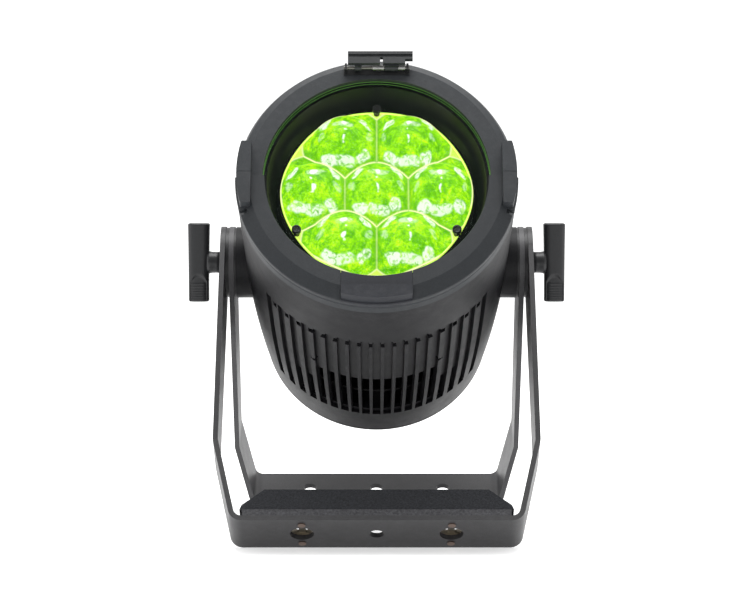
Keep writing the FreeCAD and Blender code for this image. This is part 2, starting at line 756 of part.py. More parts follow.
def screws(name, node, shank, shank_length, head, head_height, places, head_below):
    """Socket screws; the head sits under or over the shank."""
    made = []
    for i, place in enumerate(places, 1):
        head_base = place - V(0, 0, head_height) if head_below else place + V(0, 0, shank_length)
        body = cylinder("%s_head_%d" % (name, i), head, head_height, head_base)
        socket_base = head_base - V(0, 0, 1) if head_below else head_base + V(0, 0, head_height - 1.6)
        socket = cylinder("%s_socket_%d" % (name, i), head * 0.45, 2.6, socket_base)
        start = place - V(0, 0, 0.5) if head_below else place
        pin = cylinder("%s_shank_%d" % (name, i), shank, shank_length + 0.5, start)
        made.append(fuse("%s_%d" % (name, i), [cut("%s_top_%d" % (name, i), body, socket), pin]))
    keep(group(name + "_set", made), node, HEAD)


# ---------------------------------------------------------------- front: bezel, rail, guides, latch
def make_bezel():
    face = dims["bezel_face"]
    opening = dims["bezel_opening"]
    seat = dims["glass_radius"] + 0.5
    seal_front = dims["glass_back"] + dims["glass_thickness"] + 1.2
    front = dims["body_front"]
    base = turned_piece("bezel_ring", [
        (seat, front), (133.2, front), (132.8, 166.4), (129.5, face - 3.5), (122.6, face),
        (opening, face), (opening, seal_front), (seat, seal_front),
    ])
    holes = pins("bezel_screw_hole", 2.0, 9.0, spots(BEZEL_SCREW_CIRCLE, LUG_ANGLES, float(front) - 1))
    keep(drilled("bezel_drilled", base, holes), "front_bezel", HEAD)


def guide_block(name, angle):
    """One accessory guide: a segment between a flat chord and an arc, standing on the bezel face."""
    low = float(dims["bezel_face"])
    height = dims["guide_face"] - dims["bezel_face"]
    disc = cylinder(name + "_disc", dims["guide_radius"], height, (0, 0, low))
    chord = float(dims["guide_chord"])
    place = polar(chord + 10, angle, low)
    blank = box(name + "_blank", 20.0, dims["guide_half"] * 2, height, (place.x, place.y, low), angle)
    corners = polar(chord, angle, low)
    diamond = box(name + "_corners", 59.5, 59.5, height, (corners.x, corners.y, low), angle + 45)
    return common(name, common(name + "_square", disc, blank), diamond)


def make_rail():
    """The C shaped rail on the lower half, with a lip over the slot that takes a colour frame."""
    face = float(dims["bezel_face"])
    lip = float(dims["rail_lip"])
    front = float(dims["rail_face"])
    shoulder = float(dims["rail_shoulder"])
    rim = float(dims["rail_radius"])
    body = new_body("rail_half")
    section = new_sketch(body, "rail_section", "XZ_Plane")
    polygon(section, [
        (119.5, face), (122.6, face), (129.5, face - 3.5), (130.5, 171.0), (rim, 171.0),
        (rim, face - 1.3), (rim - 0.5, face - 0.3), (shoulder, front), (lip + 0.7, front),
        (lip, front - 0.6), (lip, face + 2.2), (119.5, face + 2.2),
    ])
    revolve(body, section, 180.0)
    if body.Shape.BoundBox.YMax > 1.0:
        body.Tip.Reversed = True
        doc.recompute()
    gap = box("rail_gap", (float(dims["guide_half"]) + 0.3) * 2, 60.0, 20.0, (0, -125.0, 168.0))
    sides = fuse("rail_side_guides", [
        common("rail_side_lower", fuse("rail_side_blocks", [guide_block("guide_left_low", 180),
                                                            guide_block("guide_right_low", 0)]),
               box("rail_lower_half", 300.0, 150.0, 40.0, (0, -75.2, 160.0))),
    ])
    end_notches = [radial_slab("rail_notch_%d" % a, 5.0, a, 126.5, 136.0, 170.0, 182.0) for a in (-16.7, 196.7)]
    rail = drilled("rail_with_gap", body, [gap] + end_notches)
    keep(fuse("rail_with_guides", [rail, sides]), "accessory_rail", HEAD)
    upper = common("upper_guides_pair",
                   fuse("upper_blocks", [guide_block("guide_left_high", 180),
                                         guide_block("guide_right_high", 0)]),
                   box("rail_upper_half", 300.0, 150.0, 40.0, (0, 75.2, 160.0)))
    keep(upper, "upper_side_guides", HEAD)
    infill = common("guide_rail_infill", body,
                    box("guide_rail_blank", dims["guide_half"] * 2, 60.0, 20.0, (0, -125.0, 168.0)))
    keep(fuse("guide_bottom_solid", [guide_block("guide_bottom", 270), infill]), "bottom_guide", HEAD)


PIN_Y = 117.6
PIN_Z = 180.8
LATCH_TAB = 29.6
LATCH_LEFT = -27.6
LATCH_RIGHT = 34.6


def along_x(name, radius, start, end, y=PIN_Y, z=PIN_Z):
    return cylinder(name, radius, end - start, (start, y, z), V(1, 0, 0))


def make_latch():
    """Spring-closed plate over the open end of the accessory slot, hinged on a pin along X."""
    low = float(dims["bezel_face"])
    half = float(dims["guide_half"])
    foot = common("latch_foot",
                  cylinder("latch_foot_disc", 122.0, 0.9, (0, 0, low)),
                  box("latch_foot_blank", LATCH_TAB * 2 + 4, 10.0, 0.9, (0, 117.0, low)))
    tabs = []
    for side in (-1, 1):
        tabs.append(box("latch_tab_%d" % side, 2.0, 7.0, 7.0, (side * LATCH_TAB, PIN_Y, low)))
    bracket = fuse("latch_bracket_solid", [foot] + tabs)
    keep(cut("latch_bracket_drilled", bracket, along_x("latch_tab_holes", 1.6, -half - 1, half + 1)),
         "latch_bracket", HEAD)
    keep(along_x("latch_pin_rod", 1.6, -LATCH_TAB - 2, LATCH_TAB + 2), "latch_pin", HEAD)

    face = dims["guide_face"]
    plate_low = float(face) - 4.5
    top = float(dims["guide_radius"]) - 0.4
    low_edge = float(dims["guide_chord"])
    length = LATCH_RIGHT - LATCH_LEFT
    middle = (LATCH_RIGHT + LATCH_LEFT) / 2
    blade = box("latch_blade", length, top - low_edge, 4.5, (middle, (top + low_edge) / 2, plate_low))
    groove = box("latch_groove", length + 2, 3.4, 3.0, (middle, top - 4.8, plate_low + 3.0))
    clearance = box("latch_tab_clearance", 10.0, 6.0, 8.0, (LATCH_RIGHT - 2.2, low_edge + 1.6, plate_low - 2))
    plate = drilled("latch_plate_shape", blade, [groove, clearance])
    knuckles = []
    for name, start, end in (("left", -21.2, -14.6), ("right", 7.6, 20.4)):
        knuckles.append(along_x("latch_knuckle_" + name, 3.0, start, end))
        knuckles.append(box("latch_web_" + name, end - start, 4.0, plate_low + 2.0 - PIN_Z,
                            ((start + end) / 2, PIN_Y + 1.0, PIN_Z)))
    slit = box("latch_slit", 2.6, 8.0, 10.0, (4.6, 121.0, plate_low - 2))
    solid = fuse("latch_solid", [plate] + knuckles)
    keep(drilled("latch_ready", solid, [slit, along_x("latch_bore", 1.66, -half, half)]),
         "latch_plate", HEAD)
    coils = []
    for name, start, turns in (("middle", -4.0, 11), ("right", 20.8, 7)):
        helix = doc.addObject("Part::Helix", "latch_helix_" + name)
        helix.Pitch = 1.1
        helix.Height = turns * 1.0
        helix.Radius = 2.45
        wire = doc.addObject("Part::Circle", "latch_wire_" + name)
        wire.Radius = 0.45
        wire.Placement = FreeCAD.Placement(V(2.45, 0, 0), FreeCAD.Rotation(V(1, 0, 0), 90))
        coil = doc.addObject("Part::Sweep", "latch_coil_" + name)
        coil.Sections = [wire]
        coil.Spine = (helix, ["Edge1"])
        coil.Solid = True
        coil.Frenet = True
        coil.Placement = FreeCAD.Placement(V(start, PIN_Y, PIN_Z), FreeCAD.Rotation(V(0, 0, 1), V(1, 0, 0)))
        coils.append(coil)
    keep(group("latch_coils", coils), "latch_spring", HEAD)


# ---------------------------------------------------------------- optics
def make_window():
    radius = float(dims["glass_radius"])
    back = float(dims["glass_back"])
    front = back + float(dims["glass_thickness"])
    keep(ring("glass_disc", 0, dims["glass_radius"], dims["glass_back"],
              dims["glass_back"] + dims["glass_thickness"]), "front_glass", HEAD)
    keep(ring("gasket_ring", float(dims["bezel_opening"]) + 0.3, radius, front, front + 1.2),
         "glass_gasket", HEAD)
    seat = radius + 0.2
    keep(turned_piece("baffle_cone", [
        (104.0, back), (97.0, 120.0), (99.0, 120.0), (106.0, back - 2), (seat, back - 2), (seat, back),
    ]), "baffle_tube", HEAD)
    keep(ring("retainer", 107.5, seat, float(dims["body_front"]) + 0.5, back - 2.0),
         "glass_retainer", HEAD)


def lens_centres():
    pitch = float(dims["lens_pitch"])
    return [V(0, 0, 0)] + [polar(pitch, a) for a in range(0, 360, 60)]


def make_lens_carriage():
    seat = float(dims["lens_seat"])
    crown = seat + 9.0
    dome = float(dims["lens_dome"])
    balls = []
    for i, centre in enumerate(lens_centres()):
        ball = doc.addObject("Part::Sphere", "lens_ball_%d" % i)
        bind(ball, "Radius", dims["lens_dome"])
        ball.Placement.Base = centre + V(0, 0, crown - dome)
        balls.append(ball)
    shaped = common("lens_domes", fuse("lens_balls", balls),
                    cylinder("lens_slab", dims["lens_radius"], 30.0, (0, 0, seat - 6.0)))
    plate = cylinder("lens_flange", dims["lens_radius"], 5.0, (0, 0, seat - 8.0))
    posts = pins("lens_post_hole", dims["rod_radius"] + 0.5, 40.0,
                 spots(dims["post_circle"], POST_ANGLES, seat - 15.0))
    keep(drilled("lens_ready", fuse("lens_solid", [plate, shaped]), posts), "lens_array", HEAD)

    carrier = cylinder("carrier_disc", dims["lens_radius"] + 1.7, 5.0, (0, 0, seat - 13.0))
    ports = pins("carrier_port", 27.0, 8.0, [c + V(0, 0, seat - 14.0) for c in lens_centres()])
    hubs = pins("carrier_hub", 6.0, 12.0, spots(dims["post_circle"], POST_ANGLES, seat - 25.0))
    guides = pins("carrier_guide", dims["rod_radius"] + 0.08, 40.0,
                  spots(dims["post_circle"], POST_ANGLES, seat - 30.0))
    open_disc = drilled("carrier_open", carrier, ports)
    keep(drilled("carrier_ready", fuse("carrier_solid", [open_disc] + hubs), guides), "lens_carrier", HEAD)


def make_zoom_drive():
    deck = float(dims["deck_front"])
    tips = 155.0
    rods = pins("guide_rod", dims["rod_radius"], tips - deck + 4, spots(dims["post_circle"], (210, 330), deck - 4))
    keep(group("guide_rod_pair", rods), "guide_rods", HEAD)
    place = polar(dims["post_circle"], 90)
    screw = cylinder("zoom_screw_rod", dims["rod_radius"], tips - deck + 2, place + V(0, 0, deck - 2))
    keep(screw, "zoom_screw", HEAD)
    body = box("zoom_motor_case", 35.0, 35.0, 26.0, (place.x, place.y, deck - 4 - 26.0))
    collar = cylinder("zoom_motor_collar", 8.0, 2.0, place + V(0, 0, deck - 4.0))
    shaft_hole = cylinder("zoom_motor_bore", dims["rod_radius"] + 0.06, 3.0, place + V(0, 0, deck - 2.5))
    motor = fuse("zoom_motor_solid", [body, collar])
    keep(cut("zoom_motor_ready", motor, shaft_hole), "zoom_motor", HEAD)


def make_deck():
    deck = float(dims["deck_front"])
    plate = cylinder("deck_disc", 121.0, 4.0, (0, 0, deck - 4))
    holes = pins("deck_rod_hole", dims["rod_radius"], 6.0, spots(dims["post_circle"], (210, 330), deck - 5))
    holes += pins("deck_motor_hole", 8.05, 6.0, spots(dims["post_circle"], (90,), deck - 5))
    holes += pins("deck_screw_hole", 2.2, 6.0, spots(DECK_SCREW_CIRCLE, LUG_ANGLES, deck - 5))
    keep(drilled("deck_ready", plate, holes), "chassis_plate", HEAD)
    keep(cylinder("led_board_disc", 76.0, 1.6, (0, 0, deck)), "led_board", HEAD)
    chips = [box("led_chip_%d" % i, 11.0, 11.0, 1.4, (c.x, c.y, deck + 1.6))
             for i, c in enumerate(lens_centres())]
    keep(group("led_chips", chips), "led_emitters", HEAD)
    base = cylinder("sink_base", 74.0, 8.0, (0, 0, deck - 12))
    keep_clear = box("sink_motor_notch", 37.0, 30.0, 100.0, (0, 84.0, deck - 95))
    fins = []
    for i in range(-8, 9):
        x = i * 8.5
        if abs(x) < 70:
            reach = math.sqrt(73.0 ** 2 - x ** 2)
            fins.append(box("sink_fin_%d" % (i + 9), 2.0, reach * 2, 74.0, (x, 0, deck - 85.5)))
    sink = fuse("sink_solid", [base] + fins)
    keep(cut("sink_ready", sink, keep_clear), "heat_sink", HEAD)


def make_fan():
    size = float(dims["fan_size"])
    low, high = -58.0, -33.0
    frame_box = box("fan_case", dims["fan_size"], dims["fan_size"], high - low, (0, 0, low))
    throat = cylinder("fan_throat", 56.0, high - low - 3.0, (0, 0, low + 3.0))
    intake = ring("fan_intake", 22.0, 56.0, low - 1.0, low + 4.0)
    spokes = [radial_slab("fan_spoke_%d" % a, 5.0, a, 20.0, 58.0, low, low + 3.0) for a in (30, 150, 270)]
    axle_bore = cylinder("fan_axle_bore", 3.06, 6.0, (0, 0, low + 0.5))
    opened = cut("fan_opened", frame_box, fuse("fan_openings", [throat, intake]))
    case = cut("fan_frame_ready", fuse("fan_frame_solid", [opened] + spokes), axle_bore)
    keep(case, "fan_frame", HEAD)
    hub = cylinder("fan_hub", 20.0, 18.0, (0, 0, low + 4.5))
    axle = cylinder("fan_axle", 3.0, 5.0, (0, 0, low + 1.0))
    blades = []
    for i in range(7):
        angle = i * 360.0 / 7
        blade = box("fan_blade_%d" % i, 36.5, 2.0, 26.0, (0, 0, 0))
        blade.Placement = FreeCAD.Placement(polar(35.5, angle, low + 13.5), FreeCAD.Rotation()).multiply(
            FreeCAD.Placement(V(0, 0, 0), FreeCAD.Rotation(V(0, 0, 1), angle))).multiply(
            FreeCAD.Placement(V(0, 0, 0), FreeCAD.Rotation(V(1, 0, 0), 55))).multiply(
            FreeCAD.Placement(V(-18.25, -1.0, -13.0), FreeCAD.Rotation()))
        blades.append(blade)
    swept = common("fan_blades", fuse("fan_blade_set", blades), ring("fan_sweep", 15.0, 54.0, low + 4.5, high - 1.5))
    keep(fuse("fan_rotor_solid", [hub, axle, swept]), "fan_rotor", HEAD)


def make_electronics():
    low = -62.0
    tray = cylinder("tray_disc", 114.0, 4.0, (0, 0, low))
    mouth = cylinder("tray_mouth", 50.0, 6.0, (0, 0, low - 1))
    keep(drilled("tray_ready", tray, [mouth] + pins(
        "tray_screw_hole", 2.2, 6.0, spots(TRAY_SCREW_CIRCLE, LUG_ANGLES, low - 1))), "equipment_tray", HEAD)
    keep(box("supply_case", 100.0, 42.0, 34.0, (0, -76.0, low - 34.0)), "power_supply", HEAD)
    board = box("board_sheet", 92.0, 44.0, 1.6, (0, 77.0, low - 9.6))
    posts = [cylinder("board_post_%d" % i, 3.0, 8.0, (x, y, low - 8.0))
             for i, (x, y) in enumerate(((-40, 60), (40, 60), (-40, 94), (40, 94)))]
    chips = [box("board_chip_%d" % i, 12.0, 12.0, 3.0, (x, 77.0, low - 12.6)) for i, x in enumerate((-26, 0, 26))]
    keep(fuse("board_solid", [board] + posts + chips), "driver_board", HEAD)


# ---------------------------------------------------------------- rear cap and its fittings
PANEL_Y = 34.0
PANEL_SIZE = (104.0, 52.0)
DISPLAY_Y = 43.0
BUTTON_Y = 21.0
BUTTON_X = (-33.0, -11.0, 11.0, 33.0)
SOCKETS = {
    "power_inlet": (-46.0, -22.0, 13.0),
    "power_outlet": (46.0, -22.0, 13.0),
    "data_inlet": (-20.0, -62.0, 11.5),
    "data_outlet": (20.0, -62.0, 11.5),
}


def make_rear_cap():
    joint, rim, back = float(dims["body_back"]), float(dims["cap_rim"]), float(dims["cap_back"])
    edge = float(dims["cap_rim_radius"])
    inset = 5.0
    flat = 104.0
    body = new_body("cap_shell")
    section = new_sketch(body, "cap_section", "XZ_Plane")
    outside = profile_edges(rim, joint, 0.0)
    corner = Part.Arc(V(flat, back, 0), V(edge - 3.6, back + 4.6, 0), V(edge, rim, 0))
    lines = [
        Part.LineSegment(V(shell_radius(joint), joint, 0), V(shell_radius(joint) - inset, joint, 0)),
        Part.LineSegment(V(shell_radius(joint) - inset, joint, 0), V(edge - inset, rim + 1, 0)),
        Part.LineSegment(V(edge - inset, rim + 1, 0), V(flat - 2, back + inset, 0)),
        Part.LineSegment(V(flat - 2, back + inset, 0), V(0, back + inset, 0)),
        Part.LineSegment(V(0, back + inset, 0), V(0, back, 0)),
        Part.LineSegment(V(0, back, 0), V(flat, back, 0)),
    ]
    free_outline(section, [corner] + outside + lines)
    revolve(body, section)
    posts = pins("cap_post", 5.5, joint - back - 2, spots(CAP_SCREW_CIRCLE, LUG_ANGLES, back + 2))
    solid = fuse("cap_solid", [body] + posts)
    holes = pins("cap_screw_hole", 2.2, 80.0, spots(CAP_SCREW_CIRCLE, LUG_ANGLES, back - 1))
    holes += pins("cap_counterbore", 4.3, 5.0, spots(CAP_SCREW_CIRCLE, LUG_ANGLES, back - 1))
    holes.append(box("cap_panel_opening", PANEL_SIZE[0] - 8, PANEL_SIZE[1] - 8, 12.0, (0, PANEL_Y, back - 2)))
    for name, (x, y, radius) in SOCKETS.items():
        holes.append(cylinder("cap_hole_" + name, radius, 12.0, (x, y, back - 2)))
    holes.append(cylinder("cap_vent_hole", 6.0, 12.0, (0, -24.0, back - 2)))
    holes.append(cylinder("cap_eye_hole", 4.0, 12.0, (0, 86.0, back - 2)))
    keep(drilled("cap_ready", solid, holes), "rear_cap", HEAD)


def make_rear_fittings():
    back = float(dims["cap_back"])
    lip = box("panel_lip", PANEL_SIZE[0], PANEL_SIZE[1], 2.0, (0, PANEL_Y, back - 2.0))
    plug = box("panel_plug", PANEL_SIZE[0] - 8.4, PANEL_SIZE[1] - 8.4, 8.0, (0, PANEL_Y, back - 1.0))
    tools = [box("panel_display_seat", 56.0, 22.0, 3.0, (0, DISPLAY_Y, back - 3.0)),
             box("panel_pocket", 88.0, 40.0, 6.0, (0, PANEL_Y, back + 3.0))]
    for i, x in enumerate(BUTTON_X, 1):
        tools.append(cylinder("button_hole_%d" % i, dims["button_radius"] + 0.3, 14.0, (x, BUTTON_Y, back - 3)))
    keep(drilled("panel_ready", fuse("panel_solid", [lip, plug]), tools), "control_panel", HEAD)
    keep(box("display_pane", 55.6, 21.6, 1.6, (0, DISPLAY_Y, back - 1.6)), "display_window", HEAD)
    for i, x in enumerate(BUTTON_X, 1):
        cap = cylinder("button_cap_%d" % i, dims["button_radius"], 7.0, (x, BUTTON_Y, back - 4.5))
        flange = cylinder("button_flange_%d" % i, dims["button_radius"] + 1.6, 1.0, (x, BUTTON_Y, back + 3.0))
        stem = cylinder("button_stem_%d" % i, 2.0, 2.0, (x, BUTTON_Y, back + 2.0))
        keep(fuse("button_%d" % i, [cap, stem, flange]), "menu_button_%d" % i, HEAD)
    for name, (x, y, radius) in SOCKETS.items():
        plate = box(name + "_plate", radius * 2 + 5, radius * 2 + 5, 2.5, (x, y, back - 2.5))
        shell = cylinder(name + "_shell", radius - 0.1, 22.0, (x, y, back - 1.0))
        bore = cylinder(name + "_bore", radius - 2.5, 16.0, (x, y, back - 4.0))
        if "inlet" in name:
            heart = cylinder(name + "_core", radius - 5.5, 12.0, (x, y, back + 1.0))
            keep(fuse(name + "_solid", [cut(name + "_hollow", fuse(name + "_body", [plate, shell]), bore), heart]),
                 name, HEAD)
        else:
            contacts = [cylinder("%s_slot_%d" % (name, k), 1.3, 8.0, tuple(polar(radius * 0.45, a) + V(x, y, back - 3)))
                        for k, a in enumerate((90, 210, 330))]
            ringed = cylinder(name + "_recess", radius - 2.5, 1.5, (x, y, back - 3.0))
            keep(drilled(name + "_solid", fuse(name + "_body", [plate, shell]), contacts + [ringed]), name, HEAD)
    vent = fuse("vent_solid", [cylinder("vent_head", 8.5, 3.0, (0, -24.0, back - 3.0)),
                               cylinder("vent_neck", 5.9, 10.0, (0, -24.0, back - 1.0))])
    keep(vent, "pressure_vent", HEAD)
    loop = new_body("eye_loop")
    path = new_sketch(loop, "eye_outline", "YZ_Plane")
    middle = V(86.0, back - 12.0, 0)
    path.addGeometry(Part.Circle(middle, V(0, 0, 1), 12.0), False)
    path.addGeometry(Part.Circle(middle, V(0, 0, 1), 7.0), False)
    pad(loop, path, 5.0, midplane=True)
    base = cylinder("eye_base", 10.0, 2.0, (0, 86.0, back - 2.0))
    shank = cylinder("eye_shank", 3.95, 10.0, (0, 86.0, back - 1.0))
    keep(fuse("eye_solid", [loop, base, shank]), "safety_eye", HEAD)


def make_screws():
    deck = float(dims["deck_front"])
    screws("bezel_screw", "bezel_screws", 2.0, 19.0, 3.5, 3.0,
           spots(BEZEL_SCREW_CIRCLE, LUG_ANGLES, LUGS["bezel"][1]), True)
    screws("deck_screw", "deck_screws", 2.0, 12.0, 3.5, 3.0, spots(DECK_SCREW_CIRCLE, LUG_ANGLES, deck - 12), False)
    screws("tray_screw", "tray_screws", 2.0, 12.0, 3.5, 3.0, spots(TRAY_SCREW_CIRCLE, LUG_ANGLES, -62.0), True)
    screws("cap_screw", "rear_cap_screws", 2.0, 66.0, 4.0, 3.0,
           spots(CAP_SCREW_CIRCLE, LUG_ANGLES, float(dims["cap_back"]) + 4.0), True)


# ---------------------------------------------------------------- build, check and write
make_yokes()
make_buffer()
make_receptacles()
make_pivots()
make_knob(-1, "left")
make_knob(1, "right")
make_housing()
make_bezel()
make_rail()
make_latch()
make_window()
make_lens_carriage()
make_zoom_drive()
make_deck()
make_fan()
make_electronics()
make_rear_cap()
make_rear_fittings()
make_screws()
doc.recompute()

for obj in doc.Objects:
    bad = [state for state in obj.State if state in ("Invalid", "Error")]
    if bad:
        raise RuntimeError("%s is %s" % (obj.Name, bad))
for piece in pieces:
    if piece.Shape.isNull() or not piece.Shape.isValid():
        raise RuntimeError("%s has no sound shape" % piece.Label)

os.makedirs("parts", exist_ok=True)
for piece in pieces:
    piece.Shape.exportStep("parts/%s.step" % piece.Label)
print("%d pieces written" % len(pieces))
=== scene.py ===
import json
import math
import random
import bpy
import bmesh
from mathutils import Matrix, Vector


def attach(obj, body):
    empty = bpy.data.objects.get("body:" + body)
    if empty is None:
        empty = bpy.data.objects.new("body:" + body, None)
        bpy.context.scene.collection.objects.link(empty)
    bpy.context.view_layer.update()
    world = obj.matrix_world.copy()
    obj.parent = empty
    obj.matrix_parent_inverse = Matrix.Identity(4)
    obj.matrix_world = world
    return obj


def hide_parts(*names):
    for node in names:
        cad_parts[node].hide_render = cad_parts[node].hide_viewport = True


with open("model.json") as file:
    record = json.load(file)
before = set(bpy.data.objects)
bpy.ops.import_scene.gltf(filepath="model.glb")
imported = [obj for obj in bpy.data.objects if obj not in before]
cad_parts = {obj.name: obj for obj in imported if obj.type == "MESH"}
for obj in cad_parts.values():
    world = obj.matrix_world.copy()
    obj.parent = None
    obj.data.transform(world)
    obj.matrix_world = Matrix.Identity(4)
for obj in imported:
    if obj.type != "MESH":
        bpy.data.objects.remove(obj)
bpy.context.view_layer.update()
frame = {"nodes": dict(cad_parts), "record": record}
record = frame["record"]
nodes = frame["nodes"]
joints = {joint["name"]: joint for joint in record["behaviour"]["joints"]}
MM = 0.001

# ---------------------------------------------------------------- head frame from the record
PIVOT = Vector(joints["head_tilt"]["pos_m"])
BEAM = Vector(joints["zoom_slide"]["axis"]).normalized()
SIDE = Vector((1, 0, 0))
TOP = BEAM.cross(SIDE)
HEAD = Matrix((
    (SIDE.x, TOP.x, BEAM.x, PIVOT.x),
    (SIDE.y, TOP.y, BEAM.y, PIVOT.y),
    (SIDE.z, TOP.z, BEAM.z, PIVOT.z),
    (0, 0, 0, 1),
))
UPRIGHT = Matrix.Translation(PIVOT)


# ---------------------------------------------------------------- materials
class Nodes:
    """A material's node tree with short ways to add and join nodes."""

    def __init__(self, name):
        self.material = bpy.data.materials.new(name)
        self.material.use_nodes = True
        self.tree = self.material.node_tree
        self.shader = self.tree.nodes["Principled BSDF"]

    def add(self, kind, **settings):
        node = self.tree.nodes.new(kind)
        for key, value in settings.items():
            if key in node.inputs:
                node.inputs[key].default_value = value
            else:
                setattr(node, key, value)
        return node

    def join(self, a, out, b, into):
        self.tree.links.new(a.outputs[out], b.inputs[into])

    def set(self, **values):
        for key, value in values.items():
            self.shader.inputs[key.replace("_", " ")].default_value = value

    def place(self):
        return self.add("ShaderNodeTexCoord")

    def noise(self, scale, detail=4.0, rough=0.6):
        coords = self.place()
        texture = self.add("ShaderNodeTexNoise", Scale=scale, Detail=detail, Roughness=rough)
        self.join(coords, "Object", texture, "Vector")
        return texture

    def ramp(self, source, out, stops):
        ramp = self.add("ShaderNodeValToRGB")
        elements = ramp.color_ramp.elements
        while len(elements) < len(stops):
            elements.new(0.5)
        for element, (at, colour) in zip(elements, stops):
            element.position = at
            element.color = tuple(colour) + (1.0,) if len(colour) == 3 else colour
        self.join(source, out, ramp, "Fac")
        return ramp

    def bump(self, source, out, strength, distance, previous=None):
        bump = self.add("ShaderNodeBump", Strength=strength, Distance=distance)
        self.join(source, out, bump, "Height")
        if previous is not None:
            self.join(previous, "Normal", bump, "Normal")
        return bump


def grey(colour, factor):
    """The colour made lighter or darker by a factor."""
    return tuple(min(1.0, c * factor) for c in colour)


def coat(name, colour, rough=0.5, grain=1400.0, depth=0.00012, wear=0.08, metallic=0.0, spec=0.32):
    """Textured coating: fine grain in height and tone, broad uneven patches, lighter worn edges."""
    n = Nodes(name)
    fine = n.noise(grain, 3.0, 0.55)
    broad = n.noise(18.0, 5.0, 0.6)
    tone = n.ramp(broad, "Fac", [(0.3, grey(colour, 0.95)), (0.7, grey(colour, 1.06))])
    speck = n.ramp(fine, "Fac", [(0.42, (0.82, 0.82, 0.82)), (0.66, (1.22, 1.22, 1.22))])
    mix = n.add("ShaderNodeMixRGB", blend_type="MULTIPLY")
    mix.inputs[0].default_value = 1.0
    n.join(tone, "Color", mix, 1)
    n.join(speck, "Color", mix, 2)
    geometry = n.add("ShaderNodeNewGeometry")
    edge = n.ramp(geometry, "Pointiness", [(0.515, (0, 0, 0)), (0.58, (1, 1, 1))])
    chips = n.ramp(n.noise(140.0, 6.0, 0.7), "Fac", [(0.45, (0, 0, 0)), (0.65, (wear, wear, wear))])
    worn = n.add("ShaderNodeMixRGB", blend_type="MULTIPLY")
    worn.inputs[0].default_value = 1.0
    n.join(edge, "Color", worn, 1)
    n.join(chips, "Color", worn, 2)
    final = n.add("ShaderNodeMixRGB", blend_type="MIX")
    n.join(worn, "Color", final, 0)
    n.join(mix, "Color", final, 1)
    final.inputs[2].default_value = (0.10, 0.10, 0.105, 1.0)
    n.join(final, "Color", n.shader, "Base Color")
    gloss = n.add("ShaderNodeMapRange")
    gloss.inputs["To Min"].default_value = rough - 0.07
    gloss.inputs["To Max"].default_value = rough + 0.09
    n.join(n.noise(60.0, 4.0, 0.6), "Fac", gloss, "Value")
    n.join(gloss, "Result", n.shader, "Roughness")
    n.join(n.bump(fine, "Fac", 0.6, depth), "Normal", n.shader, "Normal")
    n.set(Metallic=metallic, Specular_IOR_Level=spec)
    return n.material


def metal(name, colour, rough=0.3, brushed=(40.0, 40.0, 900.0)):
    """Plated or machined metal with fine directional marks and slight staining."""
    n = Nodes(name)
    coords = n.place()
    stretch = n.add("ShaderNodeMapping")
    stretch.inputs["Scale"].default_value = brushed
    n.join(coords, "Object", stretch, "Vector")
    marks = n.add("ShaderNodeTexNoise", Scale=3.0, Detail=5.0, Roughness=0.6)
    n.join(stretch, "Vector", marks, "Vector")
    tone = n.ramp(marks, "Fac", [(0.3, grey(colour, 0.78)), (0.7, grey(colour, 1.12))])
    n.join(tone, "Color", n.shader, "Base Color")
    gloss = n.add("ShaderNodeMapRange")
    gloss.inputs["To Min"].default_value = rough - 0.08
    gloss.inputs["To Max"].default_value = rough + 0.12
    n.join(marks, "Fac", gloss, "Value")
    n.join(gloss, "Result", n.shader, "Roughness")
    n.join(n.bump(marks, "Fac", 0.25, 0.0001), "Normal", n.shader, "Normal")
    n.set(Metallic=1.0)
    return n.material


def foam(name, colour, cell=650.0, depth=0.0007):
    """Dense foam rubber: open grain and a dusty tone."""
    n = Nodes(name)
    coords = n.place()
    cells = n.add("ShaderNodeTexVoronoi", Scale=cell)
    n.join(coords, "Object", cells, "Vector")
    grain = n.noise(cell * 0.9, 6.0, 0.75)
    tone = n.ramp(grain, "Fac", [(0.36, grey(colour, 0.55)), (0.66, grey(colour, 1.5))])
    n.join(tone, "Color", n.shader, "Base Color")
    pores = n.bump(cells, "Distance", 0.55, depth)
    n.join(n.bump(grain, "Fac", 0.8, depth, pores), "Normal", n.shader, "Normal")
    n.set(Roughness=0.92, Specular_IOR_Level=0.2, Sheen_Weight=0.15, Sheen_Roughness=0.5)
    return n.material


def glow(name, colour, strength, spread=0.12, scale=260.0):
    """Lit surface with slightly uneven brightness."""
    n = Nodes(name)
    patches = n.noise(scale, 4.0, 0.6)
    tone = n.ramp(patches, "Fac", [(0.3, grey(colour, 1 - spread)), (0.7, grey(colour, 1 + spread))])
    n.join(tone, "Color", n.shader, "Base Color")
    n.join(tone, "Color", n.shader, "Emission Color")
    n.set(Emission_Strength=strength, Roughness=0.2)
    return n.material


